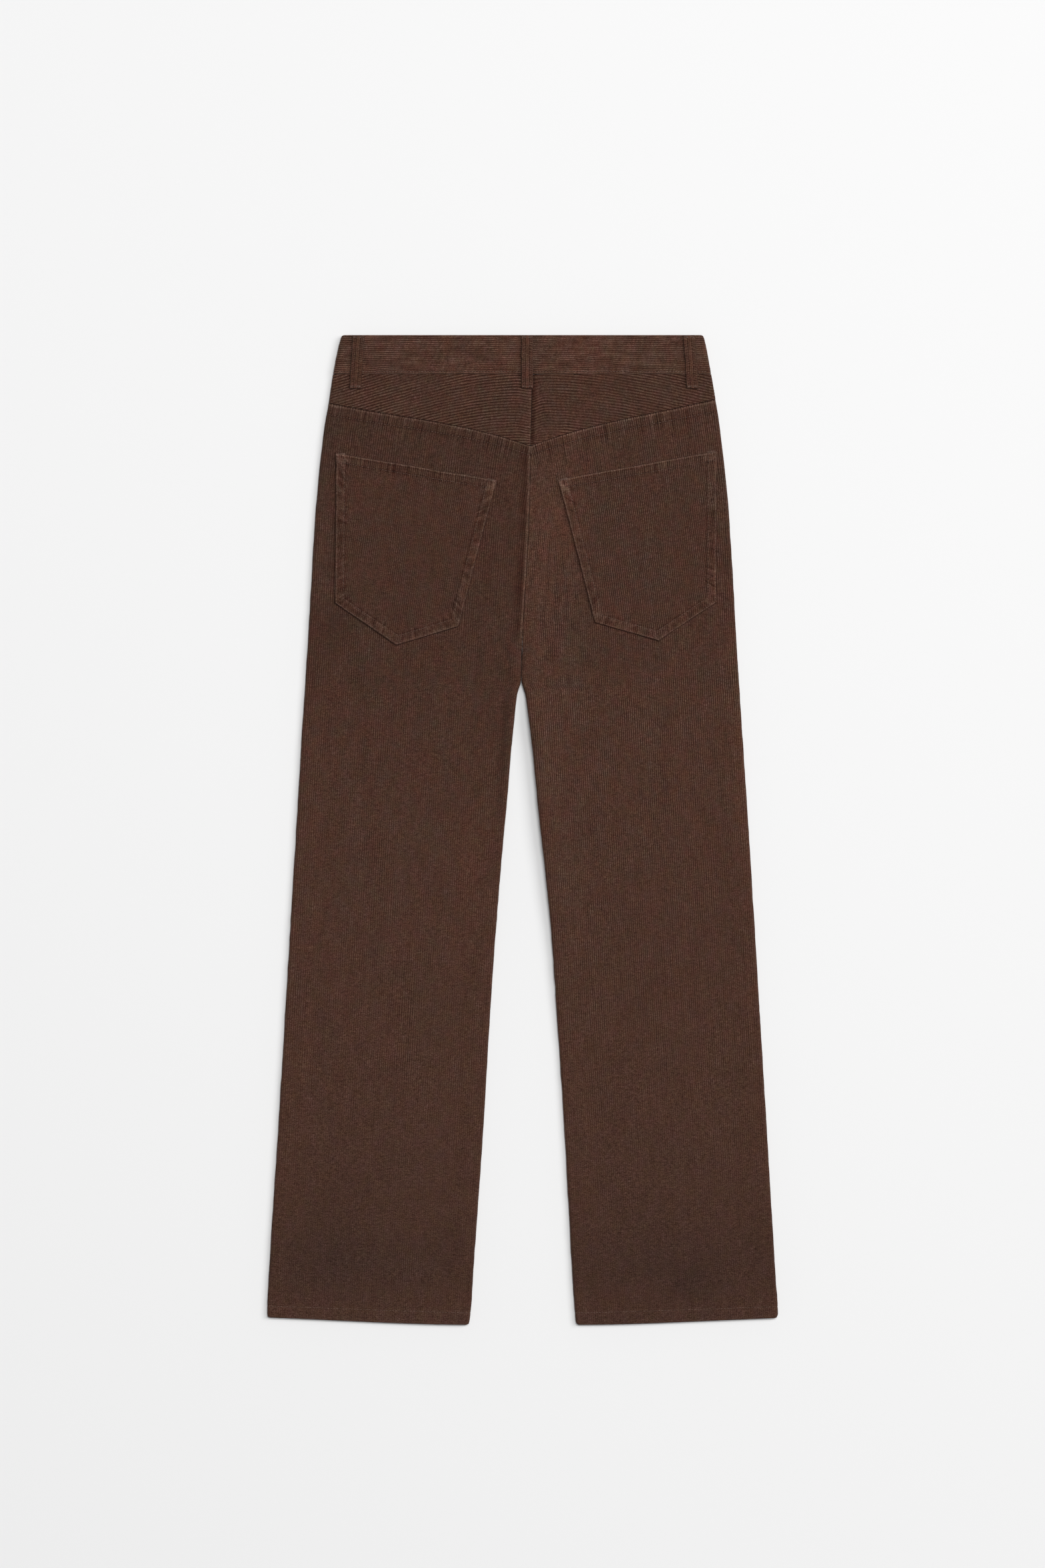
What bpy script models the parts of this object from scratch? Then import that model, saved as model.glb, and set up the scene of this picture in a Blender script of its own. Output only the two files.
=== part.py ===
"""Corduroy trousers lying flat with their back side up, as separate walls of cloth.

+X is to the right of someone looking down on the trousers, +Y runs towards the waist and +Z is up.
The origin is on the surface that the trousers lie on, under the middle of their outline.
Sizes are in millimetres and MM turns them into metres.
"""
import math
from collections import namedtuple

import bmesh
import bpy

MM = 0.001

# Whole garment
LENGTH = 1010.0
WAIST_Y = LENGTH / 2 - 0.5
HEM_Y = -LENGTH / 2
BAND_SEAM_Y = 465.3
YOKE_SEAM_Y = 391.8
CROTCH_Y = 195.0
APEX_Y = 151.7

# Cloth and seams
CLOTH = 1.5
BAND_CLOTH = 2.4
HEM_CLOTH = 2.4
SEAM_GAP = 0.3
EDGE_HEIGHT = 6.4
BAND_HEIGHT = 8.4

# Half outlines of the body, outer edge: x at each height y
Outer = namedtuple("Outer", "y left right")
OUTER_EDGE = (
    Outer(505.0, -184.0, 184.0),
    Outer(502.0, -185.4, 185.4),
    Outer(466.0, -193.2, 192.5),
    Outer(438.8, -197.3, 197.3),
    Outer(411.6, -202.0, 201.4),
    Outer(384.4, -205.4, 204.8),
    Outer(329.9, -210.9, 210.2),
    Outer(261.9, -215.0, 214.6),
    Outer(193.9, -219.0, 218.4),
    Outer(98.6, -225.2, 224.5),
    Outer(-37.4, -233.3, 233.3),
    Outer(-173.5, -241.5, 241.5),
    Outer(-309.5, -249.7, 249.7),
    Outer(-445.6, -258.5, 257.8),
    Outer(-495.0, -260.8, 260.8),
    Outer(-498.2, -259.2, 259.2),
)

# Inner edge: the centre-back seam down to the crotch, then the inside of each leg
Inner = namedtuple("Inner", "y left right")
INNER_EDGE = (
    Inner(505.0, 9.5, 9.5),
    Inner(466.0, 9.5, 9.5),
    Inner(391.8, 8.2, 8.2),
    Inner(329.9, 6.8, 6.8),
    Inner(261.9, 3.7, 3.7),
    Inner(195.0, -0.2, -0.2),
    Inner(152.5, -1.4, -1.4),
    Inner(139.5, -5.0, 2.6),
    Inner(110.2, -8.4, 6.6),
    Inner(78.9, -11.6, 10.5),
    Inner(30.6, -15.6, 15.0),
    Inner(-37.4, -21.8, 22.4),
    Inner(-105.4, -27.2, 29.3),
    Inner(-173.5, -32.0, 34.0),
    Inner(-309.5, -40.1, 42.9),
    Inner(-445.6, -49.7, 50.3),
    Inner(-502.5, -53.9, 54.4),
    Inner(-505.0, -55.4, 55.9),
)
FRONT_SEAM_X = 0.0

# How much higher the outer end of a section lies than its inner end
Slant = namedtuple("Slant", "y left right")
SLANT = (
    Slant(391.8, 43.8, 47.9),
    Slant(240.0, 10.0, 11.0),
    Slant(195.0, 0.0, 0.0),
    Slant(-300.0, 0.0, 0.0),
    Slant(-505.0, 7.5, 6.8),
)
YOKE_BOW = {"left": 4.6, "right": 3.9}
YOKE_BOW_START_Y = 262.0

# Sections, as heights of their inner ends
Row = namedtuple("Row", "y slanted bow wall outer_inset inner_inset")
LEG_ROWS = (-470.0, -420.0, -365.0, -309.5, -241.5, -173.5, -105.4, -37.4, 5.0, 30.6, 55.0, 78.9)
CROTCH_ROWS = (95.0, 110.2, 125.0, 139.5, 152.5, 165.0, 180.0, 195.0)
SEAT_ROWS = (215.0, 261.9, 300.0, 329.9, 360.0)

# Hem: a fold, and the turned-up allowance inside
HEM_TURN_UP = 12.0
HEM_BOW = -1.0
HEM_FOLD = 1.2
STEP = 1.5

# Felled seams, raised on the outside
FELL_HEIGHT = 0.5
YOKE_FELL_WIDTH = 10.0
CENTRE_FELL_WIDTH = 6.0

# Loft: the seat is a little fuller, and the legs sink between their seams
SEAT_LOFT = 0.4
LEG_SINK = 1.5
SINK_START_Y = 180.0
SINK_FULL_Y = 90.0
SINK_END_Y = -430.0
RIM_WIDTH = 9.0
RIM_SLOPE = 24.0

# The largest folds: soft troughs from one end to the other
Fold = namedtuple("Fold", "x0 y0 x1 y1 width depth")
FOLD_FADE = (5.0, 13.0)
FOLDS = (
    Fold(-13.0, 176.0, -24.0, -20.0, 8.0, 1.7),
    Fold(-181.0, 226.0, -150.0, -110.0, 11.0, 1.1),
    Fold(22.0, 160.0, 40.0, -60.0, 9.0, 0.8),
    Fold(137.0, 188.0, 149.0, 10.0, 12.0, 0.7),
    Fold(-196.0, -160.0, -205.0, -400.0, 16.0, 0.5),
    Fold(95.0, -180.0, 112.0, -400.0, 16.0, 0.5),
)

# Columns of a section: distances from each end's fold, and shares of what is between them
OUTER_COLUMNS = (9.0, 20.0)
MIDDLE_SHARES = (0.0, 0.25, 0.5, 0.75, 1.0)
INNER_COLUMNS = (1.8, 3.3, 10.0, 18.0)
UNDERLAP_COLUMNS = (14.0, 31.0, 42.0, 53.0)
FOLD_STEPS = 3

# Back pockets: corners as seen from above, and the raised edge
Pocket = namedtuple("Pocket", "top_left top_right right tip left")
POCKETS = {
    "left": Pocket((-190.5, 385.0), (-25.9, 357.1), (-64.6, 207.5), (-128.6, 188.4), (-191.8, 231.3)),
    "right": Pocket((36.1, 357.8), (198.6, 387.1), (198.0, 232.0), (138.8, 192.9), (73.8, 211.6)),
}
POCKET_CLOTH = 1.4
POCKET_EDGE_WIDTH = 9.5
POCKET_HEM_WIDTH = 13.0
POCKET_EDGE_RAISE = 0.6
POCKET_ROUND = 0.9

# Belt loops: middle of the top end and of the bottom end
Loop = namedtuple("Loop", "name top_x bottom_x")
LOOPS = (
    Loop("left", -167.3, -170.7),
    Loop("centre", 4.8, 4.8),
    Loop("right", 170.0, 173.5),
)
ProfilePoint = namedtuple("ProfilePoint", "side height")
LOOP_PROFILE = (
    ProfilePoint(-0.5, 0.55),
    ProfilePoint(-0.42, 0.95),
    ProfilePoint(-0.14, 0.9),
    ProfilePoint(0.0, 1.0),
    ProfilePoint(0.14, 0.9),
    ProfilePoint(0.42, 0.95),
    ProfilePoint(0.5, 0.55),
)
LOOP_WIDTH = 12.0
LOOP_CLOTH = 1.8
LOOP_END_CLOTH = 2.6
LOOP_BOTTOM_Y = 451.0
LOOP_END_LENGTH = 5.0
LOOP_BOW = 0.9
LOOP_LIFT_STEPS = 5
LOOP_ROUND = 0.9

# Front closure
OVERLAP = 17.0
UNDERLAP_RISE = 22.0
BUTTON_X = 4.0
BUTTON_Y = 484.0
BUTTON_RADIUS = 8.5
BUTTON_HEAD = 1.0
BUTTON_SHANK_RADIUS = 2.5
BUTTON_SEGMENTS = 24

ZIP_LENGTH = 150.0
ZIP_TAPE_WIDTH = 24.0
ZIP_TAPE = 0.7
ZIP_CHAIN_WIDTH = 4.6
ZIP_CHAIN = 0.8
SLIDER_LENGTH = 9.0
SLIDER_WIDTH = 8.0
SLIDER_HEIGHT = 1.4
TAB_LENGTH = 15.0
TAB_WIDTH = 5.0
TAB_HEIGHT = 0.6

# Looks
CORDUROY = (0.062, 0.028, 0.018, 1.0)
DARK_METAL = (0.20, 0.17, 0.14, 1.0)
ZIP_TAPE_COLOUR = (0.035, 0.018, 0.012, 1.0)

TOP_DEPTH = EDGE_HEIGHT / 2 - SEAM_GAP / 2
BAND_DEPTH = BAND_HEIGHT / 2 - SEAM_GAP / 2


def clear_scene():
    for obj in list(bpy.data.objects):
        bpy.data.objects.remove(obj, do_unlink=True)


def collection(name):
    group = bpy.data.collections.new(name)
    bpy.context.scene.collection.children.link(group)
    return group


def material(name, colour, roughness, metallic=0.0):
    mat = bpy.data.materials.new(name)
    mat.use_nodes = True
    shader = mat.node_tree.nodes["Principled BSDF"]
    shader.inputs["Base Color"].default_value = colour
    shader.inputs["Roughness"].default_value = roughness
    shader.inputs["Metallic"].default_value = metallic
    mat.diffuse_color = colour
    return mat


def between(a, b, share):
    return a + (b - a) * share


def smooth(value, low, high):
    """0 at low, 1 at high, with a soft start and end."""
    share = min(max((value - low) / (high - low), 0.0), 1.0)
    return share * share * (3 - 2 * share)


def table_value(rows, column, y):
    """A column of a table, read at height y between its rows, which run downwards."""
    for above, below in zip(rows, rows[1:]):
        if y >= below.y or below is rows[-1]:
            share = (y - below.y) / (above.y - below.y)
            return between(getattr(below, column), getattr(above, column), share)


def outer_x(side, y):
    return table_value(OUTER_EDGE, side, y)


def inner_x(side, y):
    """The inner edge of a back panel or yoke, half a seam gap short of the seam."""
    toward_leg = -1 if side == "left" else 1
    return table_value(INNER_EDGE, side, y) + toward_leg * SEAM_GAP / 2


def front_inner_x(side, y):
    """The inner edge of a front panel: the centre-front seam, then the inside of the leg."""
    toward_leg = -1 if side == "left" else 1
    seam_share = smooth(y, CROTCH_Y, BAND_SEAM_Y)
    edge = table_value(INNER_EDGE, side, min(y, CROTCH_Y))
    return between(edge, FRONT_SEAM_X, seam_share) + toward_leg * SEAM_GAP / 2


def leg_fold_angle(y):
    """How far the inner edge of a panel turns: not at all at a seam, and a quarter turn on a leg."""
    return math.pi / 2 * (1 - smooth(y, APEX_Y, CROTCH_Y + 8.0))


def fold_depth_at(fold, x, y):
    """How deep a soft trough is at a point: a bell across it, with tapered ends along it."""
    dx = fold.x1 - fold.x0
    dy = fold.y1 - fold.y0
    length = math.hypot(dx, dy)
    along = ((x - fold.x0) * dx + (y - fold.y0) * dy) / length
    across = ((x - fold.x0) * dy - (y - fold.y0) * dx) / length
    ends = smooth(along, 0.0, length * 0.3) * (1 - smooth(along, length * 0.7, length))
    return fold.depth * ends * math.exp(-((across / fold.width) ** 2))


def back_height(side, x, y):
    """Height of the plain outer surface of the garment's back."""
    from_outer = abs(outer_x(side, y) - x)
    from_inner = abs(inner_x(side, y) - x)
    legs = smooth(-y, -SINK_START_Y, -SINK_FULL_Y) * smooth(y, SINK_END_Y - 50.0, SINK_END_Y)
    from_edge = min(from_outer, from_inner)
    rim = smooth(from_edge, RIM_WIDTH, RIM_WIDTH + RIM_SLOPE)
    seat = SEAT_LOFT * smooth(y, CROTCH_Y, BAND_SEAM_Y) * smooth(from_outer, RIM_WIDTH, 3 * RIM_SLOPE)
    folds = sum(fold_depth_at(fold, x, y) for fold in FOLDS) * smooth(from_edge, *FOLD_FADE)
    return EDGE_HEIGHT + seat - LEG_SINK * legs * rim - folds


def fell_height(side, from_inner, below_seam, y):
    """The felled seams stand proud: below the yoke, and left of the centre back."""
    if below_seam < YOKE_FELL_WIDTH:
        return FELL_HEIGHT
    if side == "left" and from_inner < CENTRE_FELL_WIDTH:
        return FELL_HEIGHT * smooth(y, CROTCH_Y, CROTCH_Y + 20.0)
    return 0.0


def section_columns(width, outer_fold, inner_fold, inner_columns):
    """Where the points between the two folds lie, as distances from the outer end of the row."""
    first = outer_fold + OUTER_COLUMNS[-1]
    last = width - inner_fold - inner_columns[-1]
    columns = [outer_fold]
    columns += [outer_fold + step for step in OUTER_COLUMNS[:-1]]
    columns += [between(first, last, share) for share in MIDDLE_SHARES]
    columns += [width - inner_fold - step for step in reversed(inner_columns[:-1])]
    columns.append(width - inner_fold)
    return columns


def bow_shape(share):
    """Height of a bowed row above its straight line: 1 at its fullest, two thirds of the way in."""
    return 6.75 * share * share * (1 - share)


class Section:
    """One row of a panel: from its outer end, over the fold and the flat, to its inner end."""

    def __init__(self, outer_end, inner_end, outer_angle, inner_angle, depth, inner_columns=INNER_COLUMNS):
        self.outer_end = outer_end
        self.inner_end = inner_end
        self.angles = (outer_angle, inner_angle)
        self.inner_columns = inner_columns
        self.arc = depth * math.pi / 2
        self.width = abs(inner_end[0] - outer_end[0])
        self.toward_inner = 1 if inner_end[0] > outer_end[0] else -1
        self.fold_widths = tuple(self.arc_point(angle, 1.0)[0] for angle in self.angles)

    def arc_point(self, angle, share):
        """Reach, drop and turn of the fold's surface, a share of its length from the flat."""
        turn = angle * share
        if angle < 0.02:
            return self.arc * share, 0.0, turn
        radius = self.arc / angle
        return radius * math.sin(turn), radius * (1 - math.cos(turn)), turn

    def points(self):
        """(distance from the outer end, drop, turn) of each column; a turn is signed by its end."""
        result = []
        outer_angle, inner_angle = self.angles
        for step in range(FOLD_STEPS, 0, -1):
            reach, drop, turn = self.arc_point(outer_angle, step / FOLD_STEPS)
            result.append((self.fold_widths[0] - reach, drop, -turn))
        for distance in section_columns(self.width, *self.fold_widths, self.inner_columns):
            result.append((distance, 0.0, 0.0))
        for step in range(1, FOLD_STEPS + 1):
            reach, drop, turn = self.arc_point(inner_angle, step / FOLD_STEPS)
            result.append((self.width - self.fold_widths[1] + reach, drop, turn))
        return result

    def place(self, distance, bow=0.0):
        share = distance / self.width
        x = self.outer_end[0] + self.toward_inner * distance
        y = between(self.outer_end[1], self.inner_end[1], share) + bow * bow_shape(share)
        return x, y


def row_ends(side, row, inner_edge):
    """The outer and inner end points of a panel's row."""
    lift = table_value(SLANT, side, row.y) if row.slanted else 0.0
    outer_y = row.y + lift
    return (outer_x(side, outer_y), outer_y), (inner_edge(side, row.y), row.y)


def back_grids(side, rows, depth, height, raised):
    """Outer and inner points of a wall on the garment's back."""
    outer, inner = [], []
    for row in rows:
        outer_end, inner_end = row_ends(side, row, inner_x)
        section = Section(outer_end, inner_end, math.pi / 2, leg_fold_angle(row.y), depth)
        outer_line, inner_line = [], []
        for distance, drop, turn in section.points():
            x, y = section.place(distance, row.bow)
            away = section.toward_inner * math.sin(turn)
            up = math.cos(turn)
            plain = height(side, x, y) - drop
            lift = raised(section.width - distance, row, y) - row.outer_inset
            sunk = row.wall - row.inner_inset
            outer_line.append((x + away * lift, y, plain + up * lift))
            inner_line.append((x - away * sunk, y, plain - up * sunk))
        outer.append(outer_line)
        inner.append(inner_line)
    return outer, inner


def front_grids(side, rows, depth, inner_edge, inner_angle, inner_columns=INNER_COLUMNS):
    """Outer and inner points of a wall on the garment's front, which lies on the surface below."""
    outer, inner = [], []
    for row in rows:
        outer_end, inner_end = row_ends(side, row, inner_edge)
        section = Section(outer_end, inner_end, math.pi / 2, inner_angle(row.y), depth, inner_columns)
        outer_line, inner_line = [], []
        for distance, rise, turn in section.points():
            x, y = section.place(distance, row.bow)
            away = section.toward_inner * math.sin(turn)
            up = math.cos(turn)
            sunk = row.wall - row.inner_inset
            outer_line.append((x - away * row.outer_inset, y, rise + up * row.outer_inset))
            inner_line.append((x - away * sunk, y, rise + up * sunk))
        outer.append(outer_line)
        inner.append(inner_line)
    return outer, inner


def hem_rows():
    """The rounded fold at the bottom, and the inside step at the top of the turned-up allowance."""
    return [
        Row(HEM_Y, True, HEM_BOW, HEM_CLOTH, HEM_FOLD * 0.7, HEM_FOLD * 0.4),
        Row(HEM_Y + HEM_FOLD, True, HEM_BOW, HEM_CLOTH, 0.0, 0.0),
        Row(HEM_Y + HEM_TURN_UP, True, HEM_BOW, HEM_CLOTH, 0.0, 0.0),
        Row(HEM_Y + HEM_TURN_UP + STEP, True, HEM_BOW, CLOTH, 0.0, 0.0),
    ]


def plain_row(side, y):
    bow = YOKE_BOW[side] * smooth(y, YOKE_BOW_START_Y, YOKE_SEAM_Y)
    return Row(y, True, bow, CLOTH, 0.0, 0.0)


def back_panel(side, mat, group):
    seam = YOKE_SEAM_Y - SEAM_GAP / 2
    heights = LEG_ROWS + CROTCH_ROWS + SEAT_ROWS
    heights += (seam - YOKE_FELL_WIDTH - STEP, seam - YOKE_FELL_WIDTH, seam)
    rows = hem_rows() + [plain_row(side, y) for y in heights]

    def raised(from_inner, row, y):
        return fell_height(side, from_inner, seam - row.y - STEP / 4, y)

    grids = back_grids(side, rows, TOP_DEPTH, back_height, raised)
    return wall("back_panel_" + side, *grids, mat, group)


def back_yoke(side, mat, group):
    """The yoke, whose bow and slant straighten out towards the waistband."""
    bottom = YOKE_SEAM_Y + SEAM_GAP / 2
    top = BAND_SEAM_Y - SEAM_GAP / 2
    outer, inner = [], []
    for share in (0.0, 0.33, 0.67, 1.0):
        y = between(bottom, top, share)
        lift = between(table_value(SLANT, side, bottom), 0.0, share)
        bow = between(YOKE_BOW[side], 0.0, share)
        ends = (outer_x(side, y + lift), y + lift), (inner_x(side, y), y)
        section = Section(*ends, math.pi / 2, 0.0, TOP_DEPTH)
        outer_line, inner_line = [], []
        for distance, drop, turn in section.points():
            x, line_y = section.place(distance, bow)
            away = section.toward_inner * math.sin(turn)
            plain = back_height(side, x, line_y) - drop
            outer_line.append((x, line_y, plain))
            inner_line.append((x - away * CLOTH, line_y, plain - math.cos(turn) * CLOTH))
        outer.append(outer_line)
        inner.append(inner_line)
    return wall("back_yoke_" + side, outer, inner, mat, group)


def front_panel(side, mat, group):
    top = BAND_SEAM_Y - SEAM_GAP / 2
    heights = LEG_ROWS[:-4:2] + LEG_ROWS[-4:] + CROTCH_ROWS
    heights += tuple(y + table_value(SLANT, side, y) for y in SEAT_ROWS) + (435.6, top)
    rows = hem_rows()
    rows += [Row(y, y < CROTCH_Y, 0.0, CLOTH, 0.0, 0.0) for y in heights]
    grids = front_grids(side, rows, TOP_DEPTH, front_inner_x, leg_fold_angle)
    return wall("front_panel_" + side, *grids, mat, group)


def band_rows():
    """The waistband from its seam to its folded top edge."""
    bottom = BAND_SEAM_Y + SEAM_GAP / 2
    fold = BAND_CLOTH * 0.3
    return [
        Row(bottom, False, 0.0, BAND_CLOTH, fold * 0.5, fold * 0.3),
        Row(bottom + fold, False, 0.0, BAND_CLOTH, 0.0, 0.0),
        Row(between(bottom, WAIST_Y, 0.5), False, 0.0, BAND_CLOTH, 0.0, 0.0),
        Row(WAIST_Y - 2 * fold, False, 0.0, BAND_CLOTH, 0.0, 0.0),
        Row(WAIST_Y, False, 0.0, BAND_CLOTH, fold, fold),
    ]


def waistband_back(mat, group):
    """One piece across the back, folded round both sides down to half the band's height."""
    outer, inner = [], []
    for row in band_rows():
        ends = (outer_x("left", row.y), row.y), (outer_x("right", row.y), row.y)
        section = Section(*ends, math.pi / 2, math.pi / 2, BAND_DEPTH)
        outer_line, inner_line = [], []
        for distance, drop, turn in section.points():
            x, y = section.place(distance)
            away = math.sin(turn)
            up = math.cos(turn)
            sunk = row.wall - row.inner_inset
            outer_line.append((x - away * row.outer_inset, y, BAND_HEIGHT - drop - up * row.outer_inset))
            inner_line.append((x - away * sunk, y, BAND_HEIGHT - drop - up * sunk))
        outer.append(outer_line)
        inner.append(inner_line)
    return wall("waistband_back", outer, inner, mat, group)


def waistband_front_left(mat, group):
    """The end with the buttonhole, which lies lowest and reaches past the centre."""

    def end_x(side, y):
        return OVERLAP

    grids = front_grids("left", band_rows(), BAND_DEPTH, end_x, lambda y: 0.0)
    return wall("waistband_front_left", *grids, mat, group)


def waistband_front_right(mat, group):
    """The end that carries the button, which rises to lie on the other one."""

    def end_x(side, y):
        return -OVERLAP

    grids = front_grids("right", band_rows(), BAND_DEPTH, end_x, lambda y: 0.0, UNDERLAP_COLUMNS)
    rise = BAND_CLOTH + SEAM_GAP
    lifted = [
        [
            [(x, y, z + rise * (1 - smooth(x, OVERLAP + 2.0, OVERLAP + UNDERLAP_RISE))) for x, y, z in line]
            for line in grid
        ]
        for grid in grids
    ]
    return wall("waistband_front_right", *lifted, mat, group)


def wall(name, outer, inner, mat, group):
    """A closed wall between two equal grids of points, with the outer one seen from outside."""
    rows, columns = len(outer), len(outer[0])
    bm = bmesh.new()
    points = []
    for grid in (outer, inner):
        points.append([[bm.verts.new([c * MM for c in point]) for point in line] for line in grid])
    for grid in points:
        for i in range(rows - 1):
            for j in range(columns - 1):
                bm.faces.new((grid[i][j], grid[i][j + 1], grid[i + 1][j + 1], grid[i + 1][j]))
    rim = [(0, j) for j in range(columns)]
    rim += [(i, columns - 1) for i in range(1, rows)]
    rim += [(rows - 1, j) for j in range(columns - 2, -1, -1)]
    rim += [(i, 0) for i in range(rows - 2, 0, -1)]
    for (i0, j0), (i1, j1) in zip(rim, rim[1:] + rim[:1]):
        bm.faces.new((points[0][i0][j0], points[0][i1][j1], points[1][i1][j1], points[1][i0][j0]))
    bmesh.ops.recalc_face_normals(bm, faces=bm.faces)
    return finish(name, bm, mat, group)


def finish(name, bm, mat, group, smooth_shading=True):
    mesh = bpy.data.meshes.new(name)
    bm.to_mesh(mesh)
    bm.free()
    mesh.materials.append(mat)
    if smooth_shading:
        mesh.shade_smooth()
        mesh.set_sharp_from_angle(angle=math.radians(40))
    obj = bpy.data.objects.new(name, mesh)
    group.objects.link(obj)
    return obj


def distances(length, start, end, middle):
    """Shares of a length: fixed steps from its start and its end, and middle shares between."""
    first, last = start[-1], length - end[-1]
    steps = list(start) + [between(first, last, share) for share in middle]
    steps += [length - step for step in reversed(end)]
    return [step / length for step in steps]


def back_pocket(side, mat, group):
    """A patch with a pointed bottom, on the panel's own surface, moved out."""
    corners = POCKETS[side]
    width = math.dist(corners.top_left, corners.top_right)
    length = math.dist(corners.top_left, corners.left)
    tip_share = math.dist(corners.left, corners.tip) / (
        math.dist(corners.left, corners.tip) + math.dist(corners.tip, corners.right)
    )
    edge = (0.0, POCKET_ROUND, POCKET_EDGE_WIDTH, POCKET_EDGE_WIDTH + STEP)
    hem = (0.0, POCKET_ROUND, POCKET_HEM_WIDTH, POCKET_HEM_WIDTH + STEP)
    across = sorted(distances(width, edge, edge, (0.25, 0.75)) + [tip_share])
    along = distances(length, hem, edge, (0.33, 0.67))
    flat_across = range(3, len(across) - 3)
    flat_along = range(3, len(along) - 3)
    outer, inner = [], []
    for i, v in enumerate(along):
        outer_line, inner_line = [], []
        for j, u in enumerate(across):
            top = [between(a, b, u) for a, b in zip(corners.top_left, corners.top_right)]
            if u <= tip_share:
                low = [between(a, b, u / tip_share) for a, b in zip(corners.left, corners.tip)]
            else:
                share = (u - tip_share) / (1 - tip_share)
                low = [between(a, b, share) for a, b in zip(corners.tip, corners.right)]
            x, y = (between(a, b, v) for a, b in zip(top, low))
            base = back_height(side, x, y) + SEAM_GAP
            rise = POCKET_CLOTH
            if i not in flat_along or j not in flat_across:
                rise += POCKET_EDGE_RAISE
            if i in (0, len(along) - 1) or j in (0, len(across) - 1):
                rise -= POCKET_ROUND
            outer_line.append((x, y, base + rise))
            inner_line.append((x, y, base))
        outer.append(outer_line)
        inner.append(inner_line)
    return wall("back_pocket_" + side, outer, inner, mat, group)


def belt_loop(loop, mat, group):
    """A folded strip from the band's top edge to just below it, with turned-under ends."""
    top_y = LENGTH / 2
    band_top = BAND_HEIGHT + SEAM_GAP
    yoke_top = EDGE_HEIGHT + SEAT_LOFT + SEAM_GAP
    lift_off = BAND_SEAM_Y - 1.0
    touch_down = LOOP_BOTTOM_Y + LOOP_END_LENGTH
    thin_end = LOOP_END_CLOTH - LOOP_ROUND
    stations = [(top_y, band_top, thin_end), (top_y - LOOP_ROUND, band_top, LOOP_END_CLOTH)]
    stations += [(top_y - LOOP_END_LENGTH, band_top, LOOP_END_CLOTH)]
    for step in range(LOOP_LIFT_STEPS + 1):
        share = step / LOOP_LIFT_STEPS
        y = between(top_y - LOOP_END_LENGTH - STEP, lift_off, share)
        bow = LOOP_BOW * math.sin(math.pi * share)
        stations.append((y, band_top + bow, LOOP_CLOTH))
    stations += [
        (between(lift_off, touch_down, 0.5), between(band_top, yoke_top, 0.35), LOOP_CLOTH),
        (touch_down + STEP, between(band_top, yoke_top, 0.9), LOOP_CLOTH),
        (touch_down, yoke_top, LOOP_END_CLOTH),
        (LOOP_BOTTOM_Y + LOOP_ROUND, yoke_top, LOOP_END_CLOTH),
        (LOOP_BOTTOM_Y, yoke_top, thin_end),
    ]
    outer, inner = [], []
    for y, bottom, cloth in stations:
        middle = between(loop.top_x, loop.bottom_x, (top_y - y) / (top_y - LOOP_BOTTOM_Y))
        outer.append([(middle + LOOP_WIDTH * p.side, y, bottom + cloth * p.height) for p in LOOP_PROFILE])
        inner.append([(middle + LOOP_WIDTH * p.side, y, bottom) for p in LOOP_PROFILE])
    return wall("belt_loop_" + loop.name, outer, inner, mat, group)


def cylinder(radius, low, high):
    """A disc at the button's place, between two heights."""
    bm = bmesh.new()
    bmesh.ops.create_cone(
        bm,
        cap_ends=True,
        segments=BUTTON_SEGMENTS,
        radius1=radius * MM,
        radius2=radius * MM,
        depth=(high - low) * MM,
    )
    bmesh.ops.translate(bm, verts=bm.verts, vec=(BUTTON_X * MM, BUTTON_Y * MM, (low + high) / 2 * MM))
    return bm


def boolean(obj, cutter, operation):
    modifier = obj.modifiers.new(operation.lower(), "BOOLEAN")
    modifier.operation = operation
    modifier.object = cutter
    cutter.hide_render = True
    cutter.display_type = "WIRE"


def waist_button(mat, group, cutters, carrier):
    """A head under the band and a shank through it; the band has a recess and a hole for them."""
    shank_top = BAND_CLOTH
    below, above = -1.0, shank_top + 1.0
    head = finish("waist_button", cylinder(BUTTON_RADIUS, 0.0, BUTTON_HEAD), mat, group)
    shank = finish("button_shank", cylinder(BUTTON_SHANK_RADIUS, BUTTON_HEAD / 2, shank_top), mat, cutters)
    recess_shape = cylinder(BUTTON_RADIUS + SEAM_GAP, below, BUTTON_HEAD + SEAM_GAP)
    recess = finish("button_recess", recess_shape, mat, cutters)
    hole = finish("button_hole", cylinder(BUTTON_SHANK_RADIUS + SEAM_GAP, below, above), mat, cutters)
    boolean(head, shank, "UNION")
    boolean(carrier, recess, "DIFFERENCE")
    boolean(carrier, hole, "DIFFERENCE")
    return head


def extrusion(name, outline, width, mat, group):
    """A side outline of (y, z) points, widened evenly to both sides of the front seam."""
    bm = bmesh.new()
    near = [bm.verts.new(((FRONT_SEAM_X - width / 2) * MM, y * MM, z * MM)) for y, z in outline]
    far = [bm.verts.new(((FRONT_SEAM_X + width / 2) * MM, y * MM, z * MM)) for y, z in outline]
    bm.faces.new(near)
    bm.faces.new(list(reversed(far)))
    for k in range(len(outline)):
        following = (k + 1) % len(outline)
        bm.faces.new((near[following], near[k], far[k], far[following]))
    bmesh.ops.recalc_face_normals(bm, faces=bm.faces)
    return finish(name, bm, mat, group, smooth_shading=False)


def box_outline(y_low, y_high, z_low, z_high):
    return ((y_low, z_low), (y_high, z_low), (y_high, z_high), (y_low, z_high))


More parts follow.
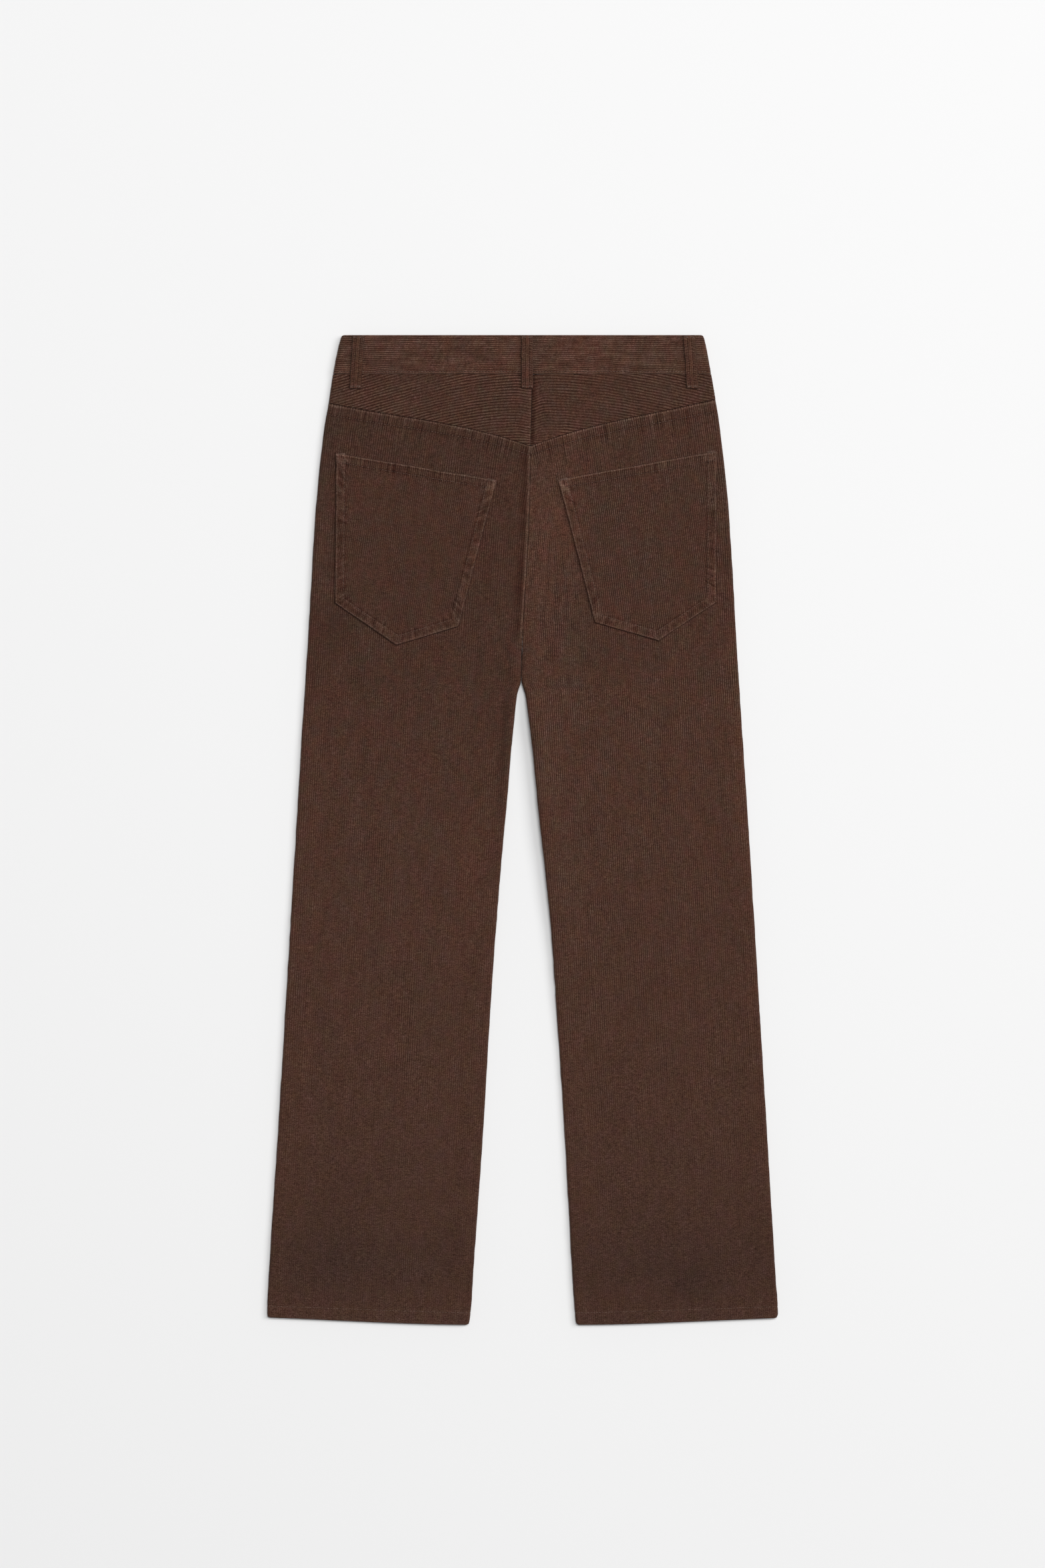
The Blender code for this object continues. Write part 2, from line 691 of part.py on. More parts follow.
def fly_zip(mat, metal, group, cutters):
    """The closed zip behind the fly: a tape with its chain, and the slider at the chain's top."""
    top = BAND_SEAM_Y - 1.0
    chain_top = top - SLIDER_LENGTH - 2 * SEAM_GAP
    tape_low = CLOTH + SEAM_GAP
    tape_top = tape_low + ZIP_TAPE
    chain_height = tape_top + ZIP_CHAIN
    tape_side = box_outline(top - ZIP_LENGTH, top, tape_low, tape_top)
    tape = extrusion("fly_zip", tape_side, ZIP_TAPE_WIDTH, mat, group)
    chain_side = box_outline(top - ZIP_LENGTH + 3.0, chain_top, tape_low + ZIP_TAPE / 2, chain_height)
    chain = extrusion("zip_chain", chain_side, ZIP_CHAIN_WIDTH, mat, cutters)
    boolean(tape, chain, "UNION")
    slider_low = tape_top + SEAM_GAP
    slider_top = slider_low + SLIDER_HEIGHT
    slider_side = box_outline(chain_top + SEAM_GAP, top - SEAM_GAP, slider_low, slider_top)
    slider = extrusion("fly_zip_slider", slider_side, SLIDER_WIDTH, metal, group)
    tab_low = chain_height + SEAM_GAP
    tab_side = box_outline(chain_top - TAB_LENGTH, chain_top + 2.0, tab_low, tab_low + TAB_HEIGHT)
    tab = extrusion("pull_tab", tab_side, TAB_WIDTH, metal, cutters)
    boolean(slider, tab, "UNION")


def build():
    clear_scene()
    group = collection("corduroy_trousers")
    cutters = collection("cutters")
    corduroy = material("corduroy", CORDUROY, 0.9)
    metal = material("dark_metal", DARK_METAL, 0.4, 1.0)
    tape = material("zip_tape", ZIP_TAPE_COLOUR, 0.8)
    for side in ("left", "right"):
        back_panel(side, corduroy, group)
        back_yoke(side, corduroy, group)
        back_pocket(side, corduroy, group)
        front_panel(side, corduroy, group)
    waistband_back(corduroy, group)
    buttonhole_end = waistband_front_left(corduroy, group)
    waistband_front_right(corduroy, group)
    for loop in LOOPS:
        belt_loop(loop, corduroy, group)
    fly_zip(tape, metal, group, cutters)
    waist_button(metal, group, cutters, buttonhole_end)


build()
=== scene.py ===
"""Looks of the corduroy trousers that lie flat, back side up: ribbed cloth shells, sewing, zip and button.

Sizes are in millimetres in the model's own frame, and MM turns them into metres.
"""
import math
from collections import namedtuple
from types import SimpleNamespace

import bpy
import numpy as np
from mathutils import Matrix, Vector


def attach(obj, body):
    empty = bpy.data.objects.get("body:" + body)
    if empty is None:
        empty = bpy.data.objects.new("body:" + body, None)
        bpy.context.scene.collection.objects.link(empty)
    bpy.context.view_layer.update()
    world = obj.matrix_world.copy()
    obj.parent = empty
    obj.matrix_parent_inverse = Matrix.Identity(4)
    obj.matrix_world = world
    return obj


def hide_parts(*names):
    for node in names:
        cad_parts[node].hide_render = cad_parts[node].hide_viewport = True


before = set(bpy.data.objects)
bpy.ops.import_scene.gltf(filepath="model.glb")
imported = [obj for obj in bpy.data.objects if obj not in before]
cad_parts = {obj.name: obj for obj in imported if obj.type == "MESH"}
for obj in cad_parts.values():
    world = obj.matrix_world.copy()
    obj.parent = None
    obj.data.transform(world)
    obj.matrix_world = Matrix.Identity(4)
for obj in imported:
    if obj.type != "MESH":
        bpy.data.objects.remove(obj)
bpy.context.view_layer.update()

MM = 0.001
SIDES = ("left", "right")
TOWARD_LEG = {"left": -1.0, "right": 1.0}
QUARTER = math.pi / 2


def table(kind, *rows):
    """A short table whose columns have the kind's names."""
    return tuple(kind(*row) for row in rows)


# The garment's sizes, as in its solids
HEM_Y = -505.0
WAIST_Y = 505.0
BAND_SEAM_Y = 465.3
YOKE_SEAM_Y = 391.8
CROTCH_Y = 195.0
APEX_Y = 151.7
FOLD_END_Y = CROTCH_Y + 8.0
BESIDE_SEAM_Y = (APEX_Y + 30.0, CROTCH_Y + 20.0)
CLOTH = 1.5
BAND_CLOTH = 2.4
HEM_CLOTH = 2.4
HEM_FOLD = 1.2
HEM_TURN_UP = 12.0
SEAM_GAP = 0.3
EDGE_HEIGHT = 6.4
BAND_HEIGHT = 8.4
BAND_TUCK = 0.05
SEAM_ROUND = 0.6
WAIST_ROUND = 1.1
TOP_DEPTH = EDGE_HEIGHT / 2 - SEAM_GAP / 2
BAND_DEPTH = BAND_HEIGHT / 2 - SEAM_GAP / 2
YOKE_SEAM_LOW = YOKE_SEAM_Y - SEAM_GAP / 2
YOKE_LOW = YOKE_SEAM_Y + SEAM_GAP / 2
YOKE_TOP = BAND_SEAM_Y - BAND_TUCK

# The outline, and how far a row's outer end lies above its inner one
Edge = namedtuple("Edge", "y left right")
OUTER_EDGE = table(
    Edge,
    (505, -184, 184), (502, -185.4, 185.4),
    (466, -193.2, 192.5), (438.8, -197.3, 197.3),
    (411.6, -202, 201.4), (384.4, -205.4, 204.8),
    (329.9, -210.9, 210.2), (261.9, -215, 214.6),
    (193.9, -219, 218.4), (98.6, -225.2, 224.5),
    (-37.4, -233.3, 233.3), (-173.5, -241.5, 241.5),
    (-309.5, -249.7, 249.7), (-445.6, -258.5, 257.8),
    (-495, -260.8, 260.8), (-498.2, -259.2, 259.2),
)
INNER_EDGE = table(
    Edge,
    (505, 9.5, 9.5), (466, 9.5, 9.5),
    (391.8, 8.2, 8.2), (329.9, 6.8, 6.8),
    (261.9, 3.7, 3.7), (195, -0.2, -0.2),
    (152.5, -1.4, -1.4), (139.5, -5, 2.6),
    (110.2, -8.4, 6.6), (78.9, -11.6, 10.5),
    (30.6, -15.6, 15), (-37.4, -21.8, 22.4),
    (-105.4, -27.2, 29.3), (-173.5, -32, 34),
    (-309.5, -40.1, 42.9), (-445.6, -49.7, 50.3),
    (-502.5, -53.9, 54.4), (-505, -55.4, 55.9),
)
SLANT = table(
    Edge,
    (391.8, 43.8, 47.9), (240, 10, 11),
    (195, 0, 0), (-300, 0, 0),
    (-505, 7.5, 6.8),
)
YOKE_BOW = {"left": 4.6, "right": 3.9}
YOKE_BOW_START_Y = 262.0
HEM_BOW = -1.0
HEM_BOW_FADE = 20.0

FELL_HEIGHT = 0.5
YOKE_FELL_WIDTH = 10.0
CENTRE_FELL_WIDTH = 6.0
FELL_STEP = 1.5

SEAT_LOFT = 0.4
LEG_SINK = 1.5
SINK_START_Y = 180.0
SINK_FULL_Y = 90.0
SINK_END_Y = -430.0
RIM_WIDTH = 9.0
RIM_SLOPE = 24.0

# Folds and creases fade out this far from an edge, and over this share of their length at each end
FOLD_FADE = (5.0, 13.0)
FOLD_ENDS = 0.3

# The insides of the thighs stand a little off the floor and shade the gap between the legs
THIGH_LIFT = {"left": 3.4, "right": 7.4}
THIGH_LIFT_WIDTH = 54.0
THIGH_LIFT_WIDTH_BELOW = 18.0
THIGH_LIFT_FULL_Y = (105.0, 30.0)
THIGH_LIFT_END_Y = -250.0
CROTCH_LIFT = 3.0
CROTCH_LIFT_LENGTH = 42.0

Pocket = namedtuple("Pocket", "top_left top_right right tip left")
POCKETS = {
    "left": Pocket((-190.5, 385.0), (-25.9, 357.1), (-64.6, 207.5), (-128.6, 188.4), (-191.8, 231.3)),
    "right": Pocket((36.1, 357.8), (198.6, 387.1), (198.0, 232.0), (138.8, 192.9), (73.8, 211.6)),
}
POCKET_CLOTH = 1.4
POCKET_EDGE_WIDTH = 9.5
POCKET_HEM_WIDTH = 10.4
POCKET_HEM_ROW = 9.4
POCKET_EDGE_RAISE = 0.6
POCKET_ROUND = 1.0
POCKET_TACK = 8.0
POCKET_SIDE_END = 0.5  # height of the sides' lower ends above the underside, before relief
POCKET_MIDDLE_Y = 290.0
POCKET_MEAN_RADIUS = 95.0

Loop = namedtuple("Loop", "name top_x bottom_x")
LOOPS = (Loop("left", -167.3, -170.7), Loop("centre", 4.8, 4.8), Loop("right", 170.0, 173.5))
LOOP_WIDTH = 12.0
LOOP_CLOTH = 1.8
LOOP_END_CLOTH = 2.6
LOOP_TOP_Y = 504.4
LOOP_BOTTOM_Y = 450.4
LOOP_END_LENGTH = 5.0
LOOP_BOW = 0.9
LOOP_BEADS = 2.3
LOOP_WALES = 6
LOOP_SIDE_END = 1.3  # height of the sides' lower ends above the underside, before relief
LOOP_STOPS_BELOW_TOP = (0.0, 0.3, 0.9, 2.0, 3.5, 5.0, 5.8, 6.6)
LOOP_STOPS_ABOVE_END = (6.0, 5.4, 4.8, 3.4, 2.0, 0.9, 0.3, 0.0)
LOOP_ROW = 3.2
LOOP_ROW_SINK = 0.35
LOOP_TACK = 10.4
LOOP_TACK_STATIONS = (3, -4)

OVERLAP = 17.0
UNDERLAP_RISE = 22.0
BUTTON_X = 4.0
BUTTON_Y = 484.0
BUTTON_RADIUS = 8.5
BUTTON_HEAD = 1.0
BUTTON_SHANK_RADIUS = 2.5
BUTTON_DIP = 0.35
BUTTON_SEGMENTS = 48
BUTTON_SHARP = math.radians(50.0)
# Radius and height of each ring of the button, from its face to its shank
BUTTON_PROFILE = (
    (4.6, 0.3), (5.6, 0.12), (6.6, 0.02), (7.6, 0.05), (8.2, 0.22), (BUTTON_RADIUS, 0.5), (8.3, 0.82),
    (7.8, 0.98), (BUTTON_SHANK_RADIUS, 1.0), (BUTTON_SHANK_RADIUS, BAND_CLOTH),
)
FLY_WIDTH = 34.0
FLY_CURVE_Y = 360.0
ZIP_LENGTH = 150.0
ZIP_TOP_Y = BAND_SEAM_Y - 1.0
FLY_ROW_Y = (BAND_SEAM_Y - 2.0, BAND_SEAM_Y - ZIP_LENGTH - 4.0)
ZIP_TAPE_WIDTH = 24.0
ZIP_TAPE = 0.7
ZIP_CHAIN = 0.8
TOOTH_PITCH = 1.7
TOOTH_WIDTH = 0.75
TOOTH_REACH = 2.3
TOOTH_HOLD = 0.7
TOOTH_SINK = 0.2
TAPE_BEVEL = 0.15
TOOTH_BEVEL = 0.12
SLIDER_BEVEL = 0.2
SLIDER_LENGTH = 9.0
SLIDER_WIDTH = 8.0
SLIDER_HEIGHT = 1.4
TAB_LENGTH = 15.0
TAB_WIDTH = 5.0
TAB_HEIGHT = 0.6
TAB_BAR = 1.4
TAB_FOOT = 2.0
TAB_EYE = 5.0

# Ribs of the cloth: their spacing, how deep the grooves are and how clearly they stand out
PANEL_WALES = {"left": 102, "right": 108}
POCKET_PITCH = 2.0
BAND_PITCH = 2.0
YOKE_PITCH = 2.88
WALE_DEPTH = 0.42
WALE_SHARPNESS = 0.43
WALE_MEAN = 0.6
# Ribs darker than DARKEST_GROOVE darken the whole colour by GROOVE_GLOOM instead; this carries the painted
# shade of seams, edges and needle pits
DARKEST_GROOVE = 0.05
GROOVE_GLOOM = 1.4
COLUMNS_A_WALE = 4
FRONT_COLUMNS_A_WALE = 3
BACK_ROWS = 190
FRONT_ROWS = 150
YOKE_COLUMNS = 90
YOKE_TRIES = 900
SHORTEST_YOKE_ROW = 1.0
BAND_COLUMNS = 235
POCKET_ROWS = 90
WOBBLE = 0.3

# Rows and stops of a shell's grid, which lie closer together at its edges
ROWS_ABOVE_HEM = (2.4, 4.6, 7.4, 9.8, 11.3, 12.2, 13.1)
FRONT_ROWS_ABOVE_HEM = (4.0, 9.0, 11.3, 12.2, 13.2)
ROWS_BELOW_YOKE = (
    23.0, 19.0, 15.5, 12.6, 11.2, 10.4, 9.7, 9.2, 8.7, 7.6, 6.0, 4.2, 2.8, 1.9, 1.3, 0.8, 0.4, 0.0,
)
STOPS_BELOW_TOP = (0.0, 0.25, 0.9, 1.7, 2.7, 4.3, 6.2, 7.9, 8.8, 9.5, 10.3, 11.6, 13.4)
STOPS_ABOVE_END = (13.0, 11.4, 10.4, 9.4, 8.6, 7.0, 4.6, 2.6, 1.6, 0.9, 0.25, 0.0)

# How a pocket's ribs lean, how strongly a piece's ribs are pressed out, and how light its cloth is
POCKET_LEAN = {"left": math.radians(8.0), "right": math.radians(-7.0)}
Look = namedtuple("Look", "y press_left press_right tone_left tone_right")
PANEL_LOOK = table(
    Look,
    (400, 1.2, 1.75, 0.83, 0.95),
    (240, 1.12, 1.95, 0.87, 0.94),
    (120, 1, 1.75, 0.96, 1.04),
    (-100, 0.93, 1.25, 1.05, 1.06),
    (-300, 0.6, 0.76, 1.03, 1.03),
    (-430, 0.4, 0.44, 0.98, 0.94),
    (-505, 0.42, 0.42, 1.07, 1),
)
POCKET_PRESS = {"left": 0.95, "right": 1.45}
POCKET_TONE = {"left": 0.95, "right": 1.01}
BAND_PRESS = 1.4
YOKE_PRESS = {"left": 2.2, "right": 1.9}
FRONT_PRESS = 0.9
LOOP_PRESS = 0.65
YOKE_TONE = 0.91
BAND_SHADE = (1.21, -0.02)

# A yoke's ribs run level at the centre and bend down towards the side
Arch = namedtuple("Arch", "slope length level_until droop droop_width")
YOKE_ARCH = {"left": Arch(0.34, 85.0, 10.0, 2.2, 9.0), "right": Arch(0.28, 110.0, 8.0, 4.2, 8.0)}

# Soft troughs (depth above 0) and ridges (below 0) of the back, from one end to the other
Fold = namedtuple("Fold", "x0 y0 x1 y1 width depth")
FOLDS = table(
    Fold,
    (-13, 176, -24, -20, 8, 1.7), (-181, 226, -150, -110, 11, 1.1),
    (22, 160, 40, -60, 9, 0.8), (137, 188, 149, 10, 12, 0.7),
    (-196, -160, -205, -400, 16, 0.5), (95, -180, 112, -400, 16, 0.5),
)
CREASES = table(
    Fold,
    (-194, 236, -166, 196, 8, 0.55), (-187, 196, -166, 100, 5, 0.45),
    (-169, 120, -160, -40, 5, 0.35), (-172, 30, -158, -130, 7, -0.3),
    (-60, 60, -50, -140, 13, -0.45), (-37, 140, -44, -20, 7, -0.35),
    (-92, 232, -60, 216, 5, 0.3), (-90, 224, -73, 248, 4, 0.25),
    (-46.3, 360, -49, 284, 1.5, -0.3), (-176.3, 364, -176.5, 240, 1.6, -0.2),
    (-20, 300, -10, 215, 8, 0.35), (-45, 205, -14, 184, 6, 0.35),
    (-60, 176, -20, 160, 7, 0.3), (14, 210, 30, 178, 6, 0.3),
    (30, 352, 26, 240, 10, -0.4), (24, 120, 27, 10, 4.5, -0.35),
    (155, 150, 160, 10, 6, -0.35), (104, 186, 140, 172, 7, 0.35),
    (216, 210, 224, -40, 6, -0.3), (177, 430, 178, 384, 5, 0.5),
    (-176, 424, -183, 384, 7, 0.45), (-120, -60, -128, -250, 12, 0.3),
    (-75, -230, -90, -420, 12, -0.3), (-232, -80, -240, -300, 8, 0.25),
    (86, -250, 88, -330, 8, 0.3), (196, -120, 205, -330, 12, 0.3),
    (150, -60, 158, -240, 10, -0.25), (62, -90, 74, -260, 10, -0.25),
    (-215, -440, -150, -452, 9, 0.3), (120, -452, 215, -462, 9, 0.35),
)
FRONT_CREASES = table(
    Fold,
    (-60, 240, -150, 190, 9, 0.4), (-40, 205, -120, 150, 8, 0.35),
    (45, 235, 150, 205, 9, 0.4), (36, 200, 110, 140, 8, 0.35),
    (-140, -20, -150, -200, 12, 0.35), (-100, -180, -115, -380, 13, 0.3),
    (125, 20, 140, -170, 12, 0.35), (150, -210, 165, -400, 14, 0.3),
    (-190, 60, -200, -80, 9, 0.25), (190, 80, 204, -60, 9, 0.25),
)

# Places where the cloth is lighter or darker, warmer or greyer: partly the nap's own tone, partly painted
# shade and painted highlight; half sizes, lean in degrees
Patch = namedtuple("Patch", "x y half_width half_length lean tone warmth")
PATCHES = table(
    Patch,
    (31, 316, 30, 75, 0, 0.22, 0.02), (14, 225, 16, 60, 0, 0.12, 0.01),
    # (-195, 204): painted shade below the left pocket's outer lower corner
    (-195, 204, 19, 30, 0, -0.12, 0), (-54, -34, 17, 95, 4, 0.10, 0.02),
    # (-18.5, 85): painted shade along the left leg's inner fold beside the gap between the legs
    (-18.5, 85, 6.5, 90, 3.2, -0.2, 0), (-12, 70, 2.4, 75, 5.4, 0.22, 0.03),
    # (126.5, 177): painted shade under the right pocket's tip
    (126.5, 177, 20, 14, 0, -0.10, 0), (223, 82, 9, 120, -3, 0.12, 0.04),
    # (24.5, 58): painted highlight along the right leg's raised inner edge
    (24.5, 58, 5, 50, -3, 0.10, 0), (157, 78, 6, 70, -4, 0.08, 0),
    (143.5, 78, 6, 70, -4, -0.08, 0), (-180, -364, 34, 34, 0, -0.07, 0),
    (-203, -442, 44, 44, 0, -0.08, -0.03), (174, -466, 30, 22, 0, -0.10, -0.02),
    (86, -286, 14, 34, 0, -0.08, 0), (-155, -450, 130, 40, 0, -0.10, -0.06),
    (155, -450, 130, 40, 0, -0.10, -0.06), (-150, -330, 130, 90, 0, 0, -0.03),
    (150, -330, 130, 90, 0, 0, -0.03), (-205, 300, 9, 70, 0, 0.11, -0.06),
    (-47.6, 322, 1, 30, 2, 0.13, 0), (-150, -110, 130, 130, 0, -0.01, -0.02),
    (150, -110, 130, 130, 0, -0.03, -0.01), (110, 485, 60, 22, 0, 0.09, 0),
    (-30, 470, 22, 12, 0, 0.03, 0.05), (86, 176, 24, 18, 0, -0.07, 0),
    (0, -500, 300, 10, 0, 0.015, -0.06), (60, 418, 60, 18, 0, 0.03, -0.01),
)

# Places where the ribs stand out more (above 0) or less than beside them; half sizes
Spot = namedtuple("Spot", "x y half_width half_length lean clear")
SPOTS = table(
    Spot,
    (-143, -50, 13, 90, 0, 0.6), (-118, -200, 11, 52, 0, 1),
    (-118, -450, 11, 40, 0, 0.7), (-198, -60, 13, 170, 3, -0.35),
    (-118, 20, 12, 60, 0, -0.3), (-232, 0, 10, 150, 3, 0.2),
    (72, -195, 13, 80, 0, 0.4), (208, -30, 12, 220, -3, -0.3),
    (45, 320, 13, 36, 12, -0.7), (66, 255, 12, 30, 12, -0.35),
    (99, 383, 22, 9, 10, -0.5), (172, 398, 34, 10, 8, -0.4),
    (-160, 345, 44, 34, 0, -0.3), (-64, 345, 15, 30, 0, 0.35),
    (-95, 255, 13, 26, 0, -0.25), (-14, 330, 9, 26, 0, -0.3),
    (95, 280, 15, 40, 0, 0.15), (-20, 205, 16, 20, 0, -0.2),
)

# Sewing
STITCH_SPACING = 3.0
STITCH_LENGTH = 2.3
STITCH_WIDTH = 0.5
FIRST_ROW = 1.3
YOKE_SECOND_ROW = 9.2
POCKET_SECOND_ROW = 9.0
HEM_ROW = 12.2
PANEL_ROW_ENDS = (0.012, 0.994)
BAND_ROW = 2.2
BAND_ROW_END = 188.0
FRONT_BAND_ROW_END = 186.0
BARTACK_SPACING = 0.55
BARTACK_WIDTH = 1.9
# Spacing, length and width of a bar tack's threads, which lie across it
BARTACK = (BARTACK_SPACING, BARTACK_WIDTH, STITCH_WIDTH, True)
# The place along a thread and the size of each of its rings, and the corners of a ring
THREAD_RINGS = ((-0.5, 0.35), (-0.3, 1.0), (0.3, 1.0), (0.5, 0.35))
THREAD_SIDES = ((1, 0), (0, 0.8), (-1, 0), (0, -0.8))
LOOP_STITCH = (2.6, 2.0)
PUCKER_SPACING = 4.6
SEAM_BEADS = 2.8
RIM_BEADS = 2.6
PUCKER_HEIGHT = 0.13

# Each piece has its own random numbers, and a side's or a loop's follow on
SEEDS = {
    "back_panel": 100,
    "front_panel": 200,
    "back_yoke": 300,
    "back_pocket": 400,
    "waistband_front": 500,
    "waistband_back": 600,
    "belt_loop": 700,
}
SEED_STEP = 20

# Random numbers that several pieces share
UNEVEN_SEEDS = (7, 8)
HEM_SEED = 31
YOKE_SEAM_SEED = 41
CENTRE_SEAM_SEED = 43
YOKE_SEED = 51
SAG_SEED = 61
CORNER_SEED = 88

# Cells of the random numbers along each side, and the turn under which a bend counts as straight
NOISE_CELLS = 97
SMALL_ANGLE = 0.02

# Colours
# The ribs' colour runs from GROOVE to RIDGE: partly the pile's own colour, partly painted shade in the
# grooves and painted sheen on the ridges
GROOVE = (0.0302, 0.0080, 0.0033, 1.0)
RIDGE = (0.0683, 0.0325, 0.0215, 1.0)
MAUVE = (1.01, 0.98, 1.09, 1.0)
STRAW = (0.99, 1.02, 0.91, 1.0)
SHEEN = (0.75, 0.55, 0.45, 1.0)
THREAD_DARK = (0.050, 0.026, 0.018, 1.0)
THREAD_LIGHT = (0.19, 0.118, 0.092, 1.0)
TAPE_DARK = (0.026, 0.013, 0.009, 1.0)
TAPE_LIGHT = (0.04, 0.02, 0.014, 1.0)
METAL_DARK = (0.16, 0.13, 0.105, 1.0)
METAL_LIGHT = (0.27, 0.23, 0.19, 1.0)
FLOOR_COLOUR = (0.8, 0.8, 0.8, 1.0)

# Scales of the zip tape's weave and of the thread's twist
WEAVE = 2500.0
TWIST = 900.0

# Where in its range noise is read, and where along the legs patches of hue stand out more
NOISE_SPAN = (0.3, 0.7)
HUE_SPAN_Y = (-0.35, 0.15)
HUE_CLEAR = (0.7, 2.0)

# Strength and height of a bump, in metres
FIBRE_BUMP = (0.35, 0.0002)
THREAD_BUMP = (0.4, 0.0001)

# Camera and light, in metres and watts
FRAME_HEIGHT = 1.6
FRAME_CENTRE_Y = 0.0469
LENS = 150.0
SENSOR = 36.0
CLIP_END = 100.0
FLOOR_SIZE = 16.0
HORIZON = (0.08, 0.3)
HORIZON_LIGHT = 0.79
SKY_LIGHT = 0.126
Light = namedtuple("Light", "name place size power")
LIGHTS = (Light("top", (1.0, 2.05, 9.0), 4.0, 645.0), Light("key", (10.6, 4.3, 11.2), 8.0, 1160.0))


def smooth(value, low, high):
    """0 at low, 1 at high, with a soft start and end."""
    share = np.clip((value - low) / (high - low), 0.0, 1.0)
    return share * share * (3 - 2 * share)


def fade(value, low, high):
    """1 at low, 0 at high."""
    return 1 - smooth(value, low, high)


def bell(value, width):
    return np.exp(-((value / width) ** 2))


def wave(phase):
    """From 0 to 1, and 1 at each whole number."""
    return 0.5 + 0.5 * np.cos(2 * math.pi * phase)


def points(x, y, z):
    return np.stack(np.broadcast_arrays(x, y, z), axis=-1)


def noise(seed, across, along):
    """Smooth noise between -1 and 1, with cells one unit wide; the same at each run."""
    cells = np.random.default_rng(seed).uniform(-1.0, 1.0, (NOISE_CELLS, NOISE_CELLS))
    across, along = np.broadcast_arrays(across, along)
    i, j = np.floor(across).astype(int), np.floor(along).astype(int)
    u, v = across - i, along - j
    u, v = u * u * (3 - 2 * u), v * v * (3 - 2 * v)
    i0, i1, j0, j1 = (n % NOISE_CELLS for n in (i, i + 1, j, j + 1))
    low = cells[i0, j0] * (1 - u) + cells[i1, j0] * u
    high = cells[i0, j1] * (1 - u) + cells[i1, j1] * u
    return low * (1 - v) + high * v


def drift(seed, value, length):
    """Smooth noise along one direction."""
    return noise(seed, value / length, 0.5)


def soft_curve(rows, column):
    """Reads a table's column at any height, with soft bends at its rows."""
    ys = np.array([row.y for row in reversed(rows)])
    values = np.array([getattr(row, column) for row in reversed(rows)])
    steps = np.diff(ys)
    slopes = np.diff(values) / steps
    products = slopes[1:] * slopes[:-1]
    sums = np.where(products > 0, slopes[1:] + slopes[:-1], 1.0)
    middle = np.where(products > 0, 2 * products / sums, 0.0)
    tangents = np.concatenate(([slopes[0]], middle, [slopes[-1]]))

    def read(y):
        k = np.clip(np.searchsorted(ys, y) - 1, 0, len(steps) - 1)
        t = np.clip((y - ys[k]) / steps[k], 0.0, 1.0)
        start = (1 + 2 * t) * (1 - t) ** 2 * values[k] + t * (1 - t) ** 2 * steps[k] * tangents[k]
        end = t * t * (3 - 2 * t) * values[k + 1] - t * t * (1 - t) * steps[k] * tangents[k + 1]
        return start + end

    return read


outer_curve, inner_curve, slant_curve = (
    {side: soft_curve(rows, side) for side in SIDES} for rows in (OUTER_EDGE, INNER_EDGE, SLANT)
)


def inner_x(side, y):
    return inner_curve[side](y) + TOWARD_LEG[side] * SEAM_GAP / 2


def front_inner_x(side, y):
    """The inner edge of a front panel: the centre-front seam, then the inside of the leg."""
    edge = inner_curve[side](np.minimum(y, CROTCH_Y))
    return edge * fade(y, CROTCH_Y, BAND_SEAM_Y) + TOWARD_LEG[side] * SEAM_GAP / 2


def leg_fold_angle(y):
    """How far the inner edge of a panel turns: not at a seam, and a quarter turn on a leg."""
    return QUARTER * fade(y, APEX_Y, FOLD_END_Y)


def beside_seam(y):
    """1 where a panel's inner edge is sewn to the other side's panel, and 0 on a leg."""
    return smooth(y, *BESIDE_SEAM_Y)


def folds_depth(folds, x, y):
    total = np.zeros(np.broadcast(x, y).shape)
    for fold in folds:
        dx, dy = fold.x1 - fold.x0, fold.y1 - fold.y0
        length = math.hypot(dx, dy)
        along = ((x - fold.x0) * dx + (y - fold.y0) * dy) / length
        across = ((x - fold.x0) * dy - (y - fold.y0) * dx) / length
        fade = length * FOLD_ENDS
        ends = smooth(along, 0.0, fade) * smooth(length - along, 0.0, fade)
        total += fold.depth * ends * bell(across, fold.width)
    return total


def undulation(x, y):
    """Slight unevenness of cloth that was pressed and laid out by hand."""
    wide, small = UNEVEN_SEEDS
    return 0.16 * noise(wide, x / 42.0, y / 90.0) + 0.08 * noise(small, x / 15.0, y / 33.0)


def thigh_lift(side, from_inner, y, width=THIGH_LIFT_WIDTH):
    """How far a leg's wall stands higher beside the crotch seam and the gap between the legs."""
    high, low = THIGH_LIFT_FULL_Y
    along = smooth(-y, -APEX_Y, -high) * smooth(y, THIGH_LIFT_END_Y, low)
    lift = THIGH_LIFT[side] * along + CROTCH_LIFT * bell(y - APEX_Y, CROTCH_LIFT_LENGTH)
    return lift * smooth(-from_inner, -width, -2.0)


def back_height(side, x, y):
    """Height of the outer surface of the garment's back, before ribs and seams."""
    from_outer = np.abs(outer_curve[side](y) - x)
    from_inner = np.abs(inner_x(side, y) - x)
    legs = smooth(-y, -SINK_START_Y, -SINK_FULL_Y) * smooth(y, SINK_END_Y - 50.0, SINK_END_Y)
    from_edge = np.minimum(from_outer, from_inner)
    sink = LEG_SINK * legs * smooth(from_edge, RIM_WIDTH, RIM_WIDTH + RIM_SLOPE)
    seat = SEAT_LOFT * smooth(y, CROTCH_Y, BAND_SEAM_Y) * smooth(from_outer, RIM_WIDTH, 3 * RIM_SLOPE)
    folds = folds_depth(FOLDS + CREASES, x, y) * smooth(from_edge, *FOLD_FADE)
    uneven = undulation(x, y) * smooth(from_edge, 1.0, 12.0)
    return EDGE_HEIGHT + seat + thigh_lift(side, from_inner, y) - sink - folds + uneven


